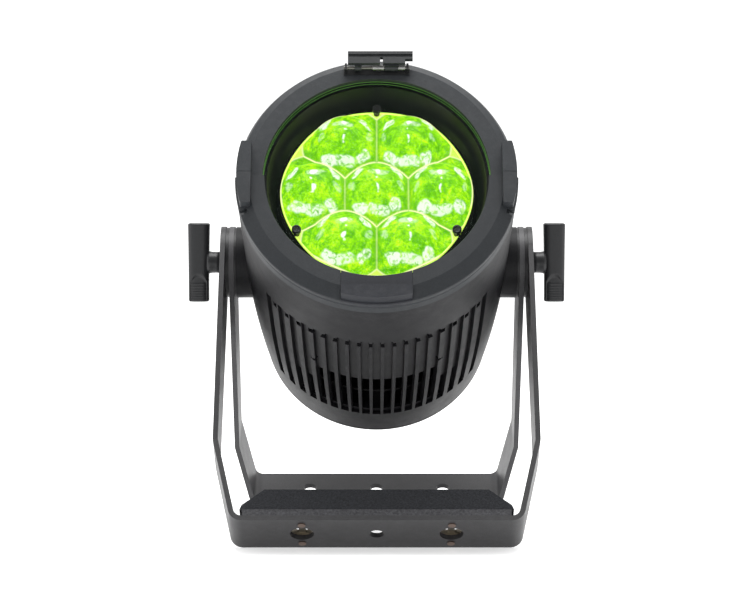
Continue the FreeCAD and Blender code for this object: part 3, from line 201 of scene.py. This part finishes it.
def lens_material():
    """Lit acrylic: green patches, and painted glints, sparks, seam lines, shade and lit wedges from the
    piece's fields.
    """
    n = Nodes("lens_green")
    coords = n.place()
    warp = n.add("ShaderNodeTexNoise", Scale=70.0, Detail=4.0, Roughness=0.7, Distortion=0.7)
    n.join(coords, "Object", warp, "Vector")
    leaf = n.add("ShaderNodeTexNoise", Scale=330.0, Detail=6.0, Roughness=0.8, Distortion=0.9)
    n.join(coords, "Object", leaf, "Vector")
    base = n.ramp(warp, "Fac", [
        (0.36, (0.11, 0.50, 0.0)), (0.5, (0.24, 0.76, 0.0)), (0.64, (0.48, 0.96, 0.004)),
    ])
    veins = n.ramp(leaf, "Fac", [
        (0.42, (0.62, 0.78, 0.4)), (0.50, (1.0, 1.0, 1.0)), (0.60, (1.7, 1.2, 2.0)),
    ])
    tint = n.add("ShaderNodeMixRGB", blend_type="MULTIPLY")
    tint.inputs[0].default_value = 1.0
    n.join(base, "Color", tint, 1)
    n.join(veins, "Color", tint, 2)
    shade = n.add("ShaderNodeAttribute", attribute_name="shade")
    dark = n.add("ShaderNodeMixRGB", blend_type="MIX")
    n.join(shade, "Fac", dark, 0)
    n.join(tint, "Color", dark, 1)
    dark.inputs[2].default_value = (0.12, 0.48, 0.0, 1.0)
    wedge = n.add("ShaderNodeAttribute", attribute_name="wedge")
    corner = n.add("ShaderNodeMixRGB", blend_type="MIX")
    n.join(wedge, "Fac", corner, 0)
    n.join(dark, "Color", corner, 1)
    corner.inputs[2].default_value = (0.66, 0.96, 0.10, 1.0)
    glint = n.add("ShaderNodeAttribute", attribute_name="glint")
    cloud = n.add("ShaderNodeTexNoise", Scale=210.0, Detail=4.0, Roughness=0.6, Distortion=1.0)
    n.join(coords, "Object", cloud, "Vector")
    mottle = n.ramp(cloud, "Fac", [(0.40, (0.2, 0.2, 0.2)), (0.54, (1.2, 1.2, 1.2))])
    broken = n.add("ShaderNodeMath", operation="MULTIPLY", use_clamp=True)
    # Fine white specks of painted sparkle, joined with the painted glint highlights and broken up by a
    # random mottle.
    sparkle_highlights = n.ramp(n.noise(900.0, 5.0, 0.75), "Fac", [(0.56, (0, 0, 0)), (0.74, (0.45, 0.45, 0.45))])
    lit = n.add("ShaderNodeMath", operation="MAXIMUM")
    n.join(glint, "Fac", lit, 0)
    n.join(sparkle_highlights, "Color", lit, 1)
    n.join(lit, "Value", broken, 0)
    n.join(mottle, "Color", broken, 1)
    white = n.add("ShaderNodeMixRGB", blend_type="MIX")
    n.join(broken, "Value", white, 0)
    n.join(corner, "Color", white, 1)
    white.inputs[2].default_value = (0.88, 1.0, 0.80, 1.0)
    spark = n.add("ShaderNodeAttribute", attribute_name="spark")
    sparks = n.add("ShaderNodeMixRGB", blend_type="MIX")
    n.join(spark, "Fac", sparks, 0)
    n.join(white, "Color", sparks, 1)
    sparks.inputs[2].default_value = (1.0, 1.0, 0.97, 1.0)
    # Bright yellow-white lines along the dome seams and the outer edge: painted highlights.
    seam = n.add("ShaderNodeAttribute", attribute_name="seam")
    final = n.add("ShaderNodeMixRGB", blend_type="MIX")
    n.join(seam, "Fac", final, 0)
    n.join(sparks, "Color", final, 1)
    final.inputs[2].default_value = (1.0, 1.0, 0.50, 1.0)
    n.join(final, "Color", n.shader, "Emission Color")
    n.set(Emission_Strength=1.08, Roughness=0.3, Base_Color=(0.005, 0.03, 0.0, 1.0),
          Specular_IOR_Level=0.06)
    return n.material


def clear(name, colour, alpha, rough=0.03):
    """Thin clear sheet that lets nearly all of what is behind it through."""
    n = Nodes(name)
    smear = n.noise(25.0, 5.0, 0.6)
    gloss = n.add("ShaderNodeMapRange")
    gloss.inputs["To Min"].default_value = rough
    gloss.inputs["To Max"].default_value = rough + 0.06
    n.join(smear, "Fac", gloss, "Value")
    n.join(gloss, "Result", n.shader, "Roughness")
    n.set(Base_Color=tuple(colour) + (1.0,), Alpha=alpha, Specular_IOR_Level=0.5)
    return n.material


MATERIALS = {
    "yoke_black": coat("yoke_coat", (0.0280, 0.0275, 0.0290), 0.42, 1500.0, 0.00010),
    # Lighter copy of the yoke paint for the inner yoke: painted light on the rear bar, which has the same
    # black paint as the outer yoke.
    "yoke_black_painted_light": coat("yoke_coat_painted_light", (0.058, 0.057, 0.060), 0.42, 1500.0, 0.00010),
    "carrier_grey": foam("carrier_strip_grain", (0.050, 0.050, 0.054), 500.0),
    "foam_black": foam("buffer_foam", (0.016, 0.017, 0.020)),
    "zinc": metal("zinc_plate", (0.62, 0.60, 0.56), 0.32),
    "dull_zinc": metal("dull_zinc_plate", (0.16, 0.155, 0.14), 0.42),
    "rivet_tan": metal("rivet_tan", (0.19, 0.14, 0.115), 0.4),
    "lock_tan": metal("lock_tan", (0.30, 0.27, 0.22), 0.38),
    "dark_steel": metal("dark_steel", (0.035, 0.036, 0.036), 0.35),
    "washer_nylon": coat("washer_nylon", (0.012, 0.012, 0.013), 0.4, 900.0, 0.00003, 0.0),
    "knob_plastic": coat("knob_plastic", (0.0180, 0.0185, 0.0200), 0.34, 1800.0, 0.00004, 0.03),
    "housing_black": coat("housing_coat", (0.0068, 0.0068, 0.0080), 0.48, 1300.0, 0.00011, 0.08, 0.0, 0.16),
    "bezel_black": coat("bezel_coat", (0.0155, 0.0182, 0.0212), 0.50, 1300.0, 0.00013),
    "rail_black": coat("rail_coat", (0.0155, 0.0178, 0.0205), 0.50, 1300.0, 0.00013),
    "latch_black": coat("latch_paint", (0.018, 0.020, 0.021), 0.42, 1100.0, 0.00006),
    "clear_glass": clear("front_glass_clear", (0.35, 0.45, 0.4), 0.008),
    "gasket_rubber": coat("gasket_rubber", (0.008, 0.009, 0.008), 0.6, 800.0, 0.00005, 0.0),
    "baffle_gloss": coat("baffle_gloss", (0.0040, 0.0040, 0.0050), 0.36, 500.0, 0.0, 0.0, 0.0, 0.16),
    "inner_black": coat("inner_satin", (0.003, 0.003, 0.003), 0.6, 900.0, 0.00004, 0.0, 0.0, 0.06),
    "lens_clear": clear("lens_clear_acrylic", (0.6, 0.95, 0.3), 0.4),
    "bare_aluminium": coat("black_anodised", (0.003, 0.003, 0.0035), 0.55, 900.0, 0.00004, 0.0, 0.0, 0.06),
    "circuit_board": coat("solder_mask", (0.01, 0.09, 0.03), 0.35, 700.0, 0.00002, 0.0),
    "led_package": glow("led_phosphor", (0.6, 1.0, 0.2), 3.0),
    "motor_steel": coat("dark_sheet", (0.004, 0.004, 0.0045), 0.55, 900.0, 0.00004, 0.0, 0.0, 0.06),
    "fan_plastic": coat("fan_plastic", (0.0025, 0.0025, 0.003), 0.6, 900.0, 0.00003, 0.0, 0.0, 0.05),
    "panel_plastic": coat("panel_plastic", (0.018, 0.018, 0.020), 0.45, 1200.0, 0.00004),
    "display_dark": coat("display_pane", (0.004, 0.008, 0.012), 0.12, 300.0, 0.00001, 0.0),
    "socket_plastic": coat("socket_plastic", (0.014, 0.015, 0.019), 0.45, 1200.0, 0.00004),
    "vent_plastic": coat("vent_plastic", (0.022, 0.022, 0.023), 0.5, 1200.0, 0.00004),
    "guide_dark": coat("guide_coat", (0.0125, 0.0140, 0.0185), 0.50, 1300.0, 0.00013),
    "bracket_dark": coat("bracket_paint", (0.007, 0.0075, 0.008), 0.45, 1100.0, 0.00005, 0.03),
    "screw_black": coat("screw_black", (0.004, 0.0045, 0.004), 0.35, 900.0, 0.00002, 0.0, 0.0, 0.25),
    "spring_steel": metal("spring_steel", (0.40, 0.40, 0.39), 0.28),
    "eye_steel": coat("eye_paint", (0.018, 0.018, 0.019), 0.4, 1200.0, 0.00006),
}
SPECIAL = {
    "quarter_turn_receptacles": "lock_tan",
    "receptacle_rivets": "rivet_tan",
    "guide_rods": "dark_steel",
    "zoom_screw": "dark_steel",
    "bottom_guide": "guide_dark",
    "latch_bracket": "bracket_dark",
    "latch_pin": "dull_zinc",
    # The inner yoke gets the lighter copy of the yoke paint, as painted light.
    "inner_yoke": "yoke_black_painted_light",
    "latch_spring": "spring_steel",
}

for entry in record["subparts"]:
    mesh = nodes[entry["node"]].data
    mesh.materials.clear()
    mesh.materials.append(MATERIALS[SPECIAL.get(entry["node"], entry["material_slot"])])


# ---------------------------------------------------------------- mesh helpers
def mesh_object(name, vertices, faces, material, matrix):
    """Smooth mesh from points in mm in the matrix's frame, with its faces turned outwards."""
    mesh = bpy.data.meshes.new(name)
    mesh.from_pydata([matrix @ (Vector(v) * MM) for v in vertices], [], faces)
    mesh.update()
    obj = bpy.data.objects.new(name, mesh)
    bpy.context.scene.collection.objects.link(obj)
    mesh.materials.append(material)
    fix = bmesh.new()
    fix.from_mesh(mesh)
    bmesh.ops.recalc_face_normals(fix, faces=fix.faces)
    fix.to_mesh(mesh)
    fix.free()
    for polygon in mesh.polygons:
        polygon.use_smooth = True
    return obj


def bevel(obj, width, segments, angle):
    """Rounds the edges that are sharper than the angle; the width is in mm."""
    modifier = obj.modifiers.new("bevel", "BEVEL")
    modifier.width = width * MM
    modifier.segments = segments
    modifier.limit_method = "ANGLE"
    modifier.angle_limit = math.radians(angle)
    modifier.harden_normals = False


def soften(obj, degrees):
    """Rounds the shading of shallow facets and keeps real edges sharp."""
    mesh = obj.data
    shape = bmesh.new()
    shape.from_mesh(mesh)
    limit = math.radians(degrees)
    for edge in shape.edges:
        edge.smooth = len(edge.link_faces) != 2 or edge.calc_face_angle(0.0) < limit
    for face in shape.faces:
        face.smooth = True
    shape.to_mesh(mesh)
    shape.free()


def lathe(name, profile, material, matrix=HEAD, steps=160, closed=True):
    """Turns a (radius, height) outline a full turn about the matrix's Z axis."""
    vertices = []
    faces = []
    count = len(profile)
    for i in range(steps):
        angle = math.radians(360.0 * i / steps)
        for radius, height in profile:
            vertices.append((radius * math.cos(angle), radius * math.sin(angle), height))
    spans = count if closed else count - 1
    for i in range(steps):
        a = i * count
        b = ((i + 1) % steps) * count
        for j in range(spans):
            k = (j + 1) % count
            faces.append((a + j, b + j, b + k, a + k))
    return mesh_object(name, vertices, faces, material, matrix)


def loft(name, rings, material, matrix, caps=True):
    """Skins a list of equal rings of points."""
    count = len(rings[0])
    vertices = [p for ring in rings for p in ring]
    faces = []
    for i in range(len(rings) - 1):
        for j in range(count):
            k = (j + 1) % count
            faces.append((i * count + j, i * count + k, (i + 1) * count + k, (i + 1) * count + j))
    if caps:
        faces.append(tuple(reversed(range(count))))
        faces.append(tuple(range((len(rings) - 1) * count, len(rings) * count)))
    return mesh_object(name, vertices, faces, material, matrix)


def finish_piece(obj, body, slot, *replaced):
    """Attaches a piece to its body and hides the CAD nodes that it stands for; its slot is not used."""
    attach(obj, body)
    if replaced:
        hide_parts(*replaced)


# ---------------------------------------------------------------- lens array
PITCH = 60.6          # between neighbouring domes
HALF = PITCH / 2
RIM = 92.3            # outer radius of the moulding
DOME = 38.0           # radius of each dome
CROWN = 164.0         # height of the domes' tops
CELL = 41.5           # an outer dome's reach; beyond it lies a lit wedge
OUTER_ZONE = 58.0     # radius beyond which the moulding sits on its flange
FLANGE_SEAT = 144.6
INNER_FLOOR = 140.9
ROD_CIRCLE = 87.5
FAR = 99.0            # more than any distance to a seam
CENTRES = [(0.0, 0.0)] + [
    (PITCH * math.cos(math.radians(a)), PITCH * math.sin(math.radians(a))) for a in range(0, 360, 60)
]


def outline(angle):
    """Edge of the moulding: a circle slightly flattened between the outer domes."""
    return RIM - 1.2 + 0.8 * math.cos(6 * angle) - 1.6 * math.sin(angle) ** 2


def clamp(value):
    """The value held between 0 and 1."""
    return max(0.0, min(1.0, value))


def near(value, middle, width):
    """1 at the middle, falling off smoothly over the width."""
    return math.exp(-((value - middle) / width) ** 2)


def oval(u, v, x, y, long, short, turn):
    """1 inside a soft-edged oval, 0 outside."""
    c, s = math.cos(math.radians(turn)), math.sin(math.radians(turn))
    du, dv = u - x, v - y
    a = (du * c + dv * s) / long
    b = (-du * s + dv * c) / short
    return clamp((1.15 - math.hypot(a, b)) / 0.25)


def seam_distance(x, y, lens):
    """Distance to the nearest seam of a dome, and how bright that seam is."""
    cx, cy = CENTRES[lens]
    nearest = FAR
    level = 1.0
    for other, (ox, oy) in enumerate(CENTRES):
        gap = math.hypot(ox - cx, oy - cy)
        if other == lens or gap > PITCH * 1.1:
            continue
        distance = gap / 2 - ((x - cx) * (ox - cx) + (y - cy) * (oy - cy)) / gap
        if distance < nearest:
            nearest = distance
            level = 0.35 if abs(oy - cy) < 1.0 else 1.0
    return nearest, level


def lens_fields(x, y, shifts):
    """Height of the moulding at a point, then its seam, glint, spark, shade and wedge levels."""
    ranked = sorted((math.hypot(x - cx, y - cy), i) for i, (cx, cy) in enumerate(CENTRES))
    nearest, lens = ranked[0]
    cx, cy = CENTRES[lens]
    u, v = (x - cx) / HALF, (y - cy) / HALF
    u, v = (u + 0.035 * math.sin(9 * v + 3 * lens) + 0.03 * math.sin(17 * u + 5 + lens),
            v + 0.04 * math.sin(8 * u + 2 * lens) + 0.02 * math.sin(21 * v))
    to_seam, level = seam_distance(x, y, lens)
    # The seam level is a painted highlight line along each seam and along the moulding's edge.
    seam = level * clamp((1.0 - to_seam) / 0.55)
    radius = math.hypot(x, y)
    wedge = 0.0
    if radius > OUTER_ZONE and lens:
        wedge = clamp((nearest - CELL) / 0.9)
        seam *= 1.0 - wedge
        seam = max(seam, 0.85 * near(nearest, CELL, 0.75))
    seam = max(seam, clamp((1.5 - (outline(math.atan2(y, x)) - radius)) / 0.7))
    shift = shifts[lens]
    glint = max(
        oval(u, v, -0.63, 0.60, 0.27, 0.10, 55),
        oval(u, v, 0.63, 0.60, 0.27, 0.10, -55),
        0.45 * oval(u, v, 0.05 + shift, 0.50, 0.30, 0.11, 0),
        0.95 * oval(u, v, -0.50, -0.66, 0.27, 0.15, -25),
        0.75 * oval(u, v, 0.02, -0.76, 0.34, 0.15, 0),
        0.90 * oval(u, v, 0.58, -0.60, 0.21, 0.15, 40),
        0.35 * oval(u, v, -0.76, 0.06, 0.16, 0.09, 80),
        0.35 * oval(u, v, 0.76, 0.06, 0.16, 0.09, 100),
    )
    glint *= 1.0 - 0.85 * oval(u, v, 0.05 + shift, -0.62, 0.11, 0.05, 0)
    glint *= 1.0 - 0.6 * oval(u, v, 0.66, -0.55, 0.05, 0.07, 0)
    spark = max(
        oval(u, v, 0.0, 0.52, 0.10, 0.09, 0),
        oval(u, v, 0.0, 0.24, 0.035, 0.04, 0),
        oval(u, v, 0.0, -0.06, 0.045, 0.11, 0),
        0.8 * oval(u, v, 0.0, -0.22, 0.03, 0.035, 0),
    )
    by_seam = 0.75 * clamp((5.5 - to_seam) / 4.5)
    by_edge = 0.6 * clamp((nearest - CELL + 4.5) / 4.0)
    shade = max(by_seam, by_edge) * (1.0 - seam) * (1.0 - wedge)
    height = CROWN - DOME + math.sqrt(max(1.0, DOME ** 2 - nearest ** 2))
    height = max(height, FLANGE_SEAT if radius > OUTER_ZONE else INNER_FLOOR)
    return height, seam, glint * (1.0 - wedge), spark, shade, wedge


def make_lens_array():
    """One moulding of seven domes that meet in sharp seams, on a flange with a lit rim."""
    rng = random.Random(7)
    shifts = [rng.uniform(-0.12, 0.12) for _ in CENTRES]
    step = 0.85
    rings = int(RIM / step)
    vertices = []
    fields = []
    rows = []
    for i in range(rings + 1):
        count = 1 if i == 0 else 6 * max(1, int(RIM * i / rings * 1.05 / step))
        row = []
        for j in range(count):
            angle = 2 * math.pi * j / count
            radius = outline(angle) * i / rings
            x, y = radius * math.cos(angle), radius * math.sin(angle)
            height, *levels = lens_fields(x, y, shifts)
            row.append((len(vertices), angle))
            vertices.append((x, y, height))
            fields.append(levels)
        rows.append(row)
    faces = []
    for i in range(rings):
        inner, outer = rows[i], rows[i + 1]
        if len(inner) == 1:
            for j in range(len(outer)):
                faces.append((inner[0][0], outer[j][0], outer[(j + 1) % len(outer)][0]))
            continue
        a, b = 0, 0
        while a < len(inner) or b < len(outer):
            next_in = (a + 1) / len(inner)
            next_out = (b + 1) / len(outer)
            here_in, here_out = inner[a % len(inner)][0], outer[b % len(outer)][0]
            if b < len(outer) and (a >= len(inner) or next_out <= next_in):
                faces.append((here_in, here_out, outer[(b + 1) % len(outer)][0]))
                b += 1
            else:
                faces.append((here_in, here_out, inner[(a + 1) % len(inner)][0]))
                a += 1
    obj = mesh_object("lens_domes", vertices, faces, lens_material(), HEAD)
    for slot_index, field in enumerate(("seam", "glint", "spark", "shade", "wedge")):
        layer = obj.data.attributes.new(field, "FLOAT", "POINT")
        layer.data.foreach_set("value", [f[slot_index] for f in fields])
    finish_piece(obj, "lens_carriage", "lens_clear", "lens_array")
    rim_glow = glow("lens_rim_glow", (0.62, 1.0, 0.12), 0.9)
    rings = []
    for k in range(241):
        angle = 2 * math.pi * k / 240
        edge = outline(angle)
        rings.append([((edge + dr) * math.cos(angle), (edge + dr) * math.sin(angle), z) for dr, z in (
            (0.2, 145.3), (0.2, 143.4), (-2.0, 143.4), (-2.0, 143.8), (-0.9, 145.5))])
    band = loft("lens_flange_rim", rings, rim_glow, HEAD, caps=False)
    finish_piece(band, "lens_carriage", "lens_clear")


make_lens_array()


def make_carrier():
    """The carrier plate under the domes, with its web set lower and its hubs just clear of the deck."""
    obj = nodes["lens_carrier"]
    copy = bpy.data.objects.new("lens_carrier_plate", obj.data.copy())
    bpy.context.scene.collection.objects.link(copy)
    web_from, hub_ends, web_drop, hub_lift = 139.0, 129.0, 4.4, 0.3
    back = HEAD.inverted()
    for vertex in copy.data.vertices:
        local = back @ vertex.co
        if local.z > web_from * MM:
            vertex.co = HEAD @ (local - Vector((0, 0, web_drop * MM)))
        elif local.z < hub_ends * MM:
            vertex.co = HEAD @ (local + Vector((0, 0, hub_lift * MM)))
    finish_piece(copy, "lens_carriage", "inner_black", "lens_carrier")


make_carrier()


def make_rod_ends():
    """Socket head screws on the ends of the two guide rods and the zoom screw."""
    profile = [(0.0, 154.2), (2.1, 154.2), (2.2, 155.4), (4.0, 155.4), (4.4, 155.0), (4.4, 151.2),
               (0.0, 151.2)]
    for name, angle, body in (("left", 210, "head"), ("right", 330, "head"), ("top", 90, "zoom_screw")):
        x, y = ROD_CIRCLE * math.cos(math.radians(angle)), ROD_CIRCLE * math.sin(math.radians(angle))
        head = lathe("rod_end_" + name, profile, MATERIALS["screw_black"],
                     HEAD @ Matrix.Translation((x * MM, y * MM, 0)), 36, closed=False)
        finish_piece(head, body, "zinc")


make_rod_ends()


# ---------------------------------------------------------------- T handles
FRONT_CURVE = 0.62      # below 1 the bulging front is squarer than an ellipse


def handle_ring(height, width_in, width_out, depth):
    """Cross section: flat back with round corners, bulging front."""
    points = []
    corner = min(3.4, depth * 0.48)
    for cx, start in ((width_out - corner, 0), (width_in + corner, 90)):
        for k in range(9):
            angle = math.radians(start + k * 11.25)
            across = cx + corner * math.cos(angle)
            points.append((across, depth - corner + corner * math.sin(angle), height))
    middle, half = (width_in + width_out) / 2, (width_out - width_in) / 2
    for k in range(27):
        angle = math.radians(180 + 180 * k / 26)
        c, d = math.cos(angle), math.sin(angle)
        x = middle + half * math.copysign(abs(c) ** FRONT_CURVE, c)
        points.append((x, -depth * abs(d) ** FRONT_CURVE, height))
    return points


HANDLE_IN, HANDLE_OUT = 167.2, 189.6
HANDLE_HALF = 39.4      # half its length
HANDLE_DEPTH = 8.5      # half its thickness
END_ROUND = 1.6
SCOOP_HALF = 8.2
SCOOP_DEEP = 1.5
RIBS_FROM, RIBS_TO, RIB_PITCH, RIB_HEIGHT = 21.0, 37.5, 2.6, 0.42


def scooped(x, y, z, middle):
    """The finger scoops: one low on the front and one high on the back, each with fine cross ribs."""
    for facing in (-1, 1):
        along = z * facing
        if y * facing <= 3.0 or along <= 9.0:
            continue
        arch = 11.0 + 7.5 * ((x - middle) / SCOOP_HALF) ** 2
        if abs(x - middle) < SCOOP_HALF and along > arch:
            cutting = min(SCOOP_DEEP, (along - arch) * 0.55)
            if RIBS_FROM < along < RIBS_TO:
                cutting -= RIB_HEIGHT * max(0.0, math.sin((along - RIBS_FROM) / RIB_PITCH * 2 * math.pi))
            y -= facing * cutting
    return y


def make_handle(side, label):
    """T handle: a slightly waisted and tapered grip on a short round neck."""
    rings = []
    steps = 96
    for i in range(steps + 1):
        share = i / steps
        z = -HANDLE_HALF + 2 * HANDLE_HALF * share
        end = min(share, 1 - share) * 2 * HANDLE_HALF
        swell = 0.0
        if end < END_ROUND:
            swell = END_ROUND - math.sqrt(max(0.0, END_ROUND ** 2 - (END_ROUND - end) ** 2))
        lean = 0.55 * (share - 0.5) * 2
        dish = 0.35 * math.sin(math.pi * share)
        x0 = HANDLE_IN + 0.6 - lean * 0.9 + swell + dish
        x1 = HANDLE_OUT - 0.55 + lean * 0.5 - swell - dish * 0.4
        middle = (x0 + x1) / 2
        rings.append([(side * x, scooped(x, y, z, middle), z)
                      for x, y, _ in handle_ring(z, x0, x1, HANDLE_DEPTH - swell)])
    grip = loft("handle_grip_" + label, rings, MATERIALS["knob_plastic"], UPRIGHT)
    finish_piece(grip, "tilt_knob_" + label, "knob_plastic", "tilt_knob_" + label)
    neck_profile = [(10.6, 155.7), (10.6, 161.0), (10.7, 164.5), (11.2, 167.0), (11.2, 170.0),
                    (6.2, 170.0), (6.2, 155.7)]
    turn = Matrix.Rotation(math.radians(90) * side, 4, "Y")
    neck = lathe("handle_neck_" + label, neck_profile, MATERIALS["knob_plastic"], UPRIGHT @ turn, 72)
    finish_piece(neck, "tilt_knob_" + label, "knob_plastic")


make_handle(-1, "left")
make_handle(1, "right")


# ---------------------------------------------------------------- glass edge glow
def make_glass_edge():
    """Two thin lit rings where the pane's edges catch light."""
    edge_glow = glow("glass_edge_glow", (0.06, 0.17, 0.03), 0.4)
    thick = 0.28
    for tag, radius, height in (("front", 107.5, 171.5), ("back", 107.2, 167.7)):
        profile = []
        for k in range(8):
            angle = math.radians(45 * k)
            profile.append((radius + thick * math.cos(angle), height + thick * math.sin(angle)))
        line = lathe("glass_edge_line_" + tag, profile, edge_glow)
        finish_piece(line, "head", "clear_glass")


make_glass_edge()


# ---------------------------------------------------------------- buffer
def make_buffer():
    """Foam block with softly rounded edges."""
    obj = nodes["yoke_buffer"]
    copy = bpy.data.objects.new("buffer_foam", obj.data.copy())
    bpy.context.scene.collection.objects.link(copy)
    shape = bmesh.new()
    shape.from_mesh(copy.data)
    bmesh.ops.remove_doubles(shape, verts=shape.verts, dist=1e-5)
    bmesh.ops.dissolve_limit(shape, angle_limit=math.radians(2), verts=shape.verts, edges=shape.edges)
    shape.to_mesh(copy.data)
    shape.free()
    copy.data.materials.clear()
    copy.data.materials.append(MATERIALS["foam_black"])
    bevel(copy, 2.0, 4, 25.0)
    for polygon in copy.data.polygons:
        polygon.use_smooth = False
    finish_piece(copy, "outer_yoke", "foam_black", "yoke_buffer")


make_buffer()

# ---------------------------------------------------------------- shading of the CAD pieces
for name, obj in nodes.items():
    soften(obj, 28.0)

# ---------------------------------------------------------------- floor, light and camera
FLOOR_GAP = 0.0006      # m between the frame's zero and the paper below it


def make_floor():
    """White paper that runs well beyond the picture."""
    mesh = bpy.data.meshes.new("floor")
    mesh.from_pydata([(-40, -20, 0), (40, -20, 0), (40, 60, 0), (-40, 60, 0)], [], [(0, 1, 2, 3)])
    floor = bpy.data.objects.new("floor", mesh)
    bpy.context.scene.collection.objects.link(floor)
    paper = Nodes("floor_paper")
    paper.set(Base_Color=(0.93, 0.93, 0.93, 1), Roughness=0.9,
              Emission_Color=(1, 1, 1, 1), Emission_Strength=0.5)
    mesh.materials.append(paper.material)
    floor.location = (0, 0, -FLOOR_GAP)


def make_world():
    """White surroundings, dimmer on the side that the front of the light faces."""
    world = bpy.data.worlds.new("studio")
    bpy.context.scene.world = world
    world.use_nodes = True
    tree = world.node_tree
    background = tree.nodes["Background"]
    background.inputs[0].default_value = (1, 1, 1, 1)
    direction = tree.nodes.new("ShaderNodeTexCoord")
    split = tree.nodes.new("ShaderNodeSeparateXYZ")
    level = tree.nodes.new("ShaderNodeMapRange")
    for socket, value in (("From Min", -1.0), ("From Max", -0.25), ("To Min", 0.42), ("To Max", 1.12)):
        level.inputs[socket].default_value = value
    tree.links.new(direction.outputs["Generated"], split.inputs[0])
    tree.links.new(split.outputs["Y"], level.inputs["Value"])
    tree.links.new(level.outputs["Result"], background.inputs[1])


def softbox(name, place, aim, size, power):
    """Rectangular area light turned towards a point."""
    light = bpy.data.lights.new(name, "AREA")
    light.shape = "RECTANGLE"
    light.size, light.size_y = size
    light.energy = power
    obj = bpy.data.objects.new(name, light)
    bpy.context.scene.collection.objects.link(obj)
    obj.location = place
    obj.rotation_euler = (Vector(aim) - Vector(place)).to_track_quat("-Z", "Y").to_euler()


make_floor()
make_world()
softbox("light_top", (0.0, 0.05, 2.2), (0, 0, 0.25), (1.6, 1.2), 44)
softbox("light_left", (-2.0, -0.8, 0.9), (0, 0, 0.25), (0.9, 1.6), 6)
softbox("light_right", (2.0, -0.8, 0.9), (0, 0, 0.25), (0.9, 1.6), 2)

DISTANCE = 2.549744     # m from the tilt axis
RISE = math.radians(3.16)
PITCH_DOWN = math.radians(4.01)
SHIFT_LEFT = 0.0016
camera_data = bpy.data.cameras.new("camera")
camera_data.sensor_width = 36.0
camera_data.lens = 121.79
camera = bpy.data.objects.new("camera", camera_data)
bpy.context.scene.collection.objects.link(camera)
camera.location = (
    -SHIFT_LEFT,
    PIVOT.y - DISTANCE * math.cos(RISE),
    PIVOT.z + DISTANCE * math.sin(RISE),
)
camera.rotation_euler = (math.radians(90) - PITCH_DOWN, 0, 0)
bpy.context.scene.camera = camera
bpy.context.scene.view_settings.view_transform = "Standard"

bpy.context.view_layer.update()
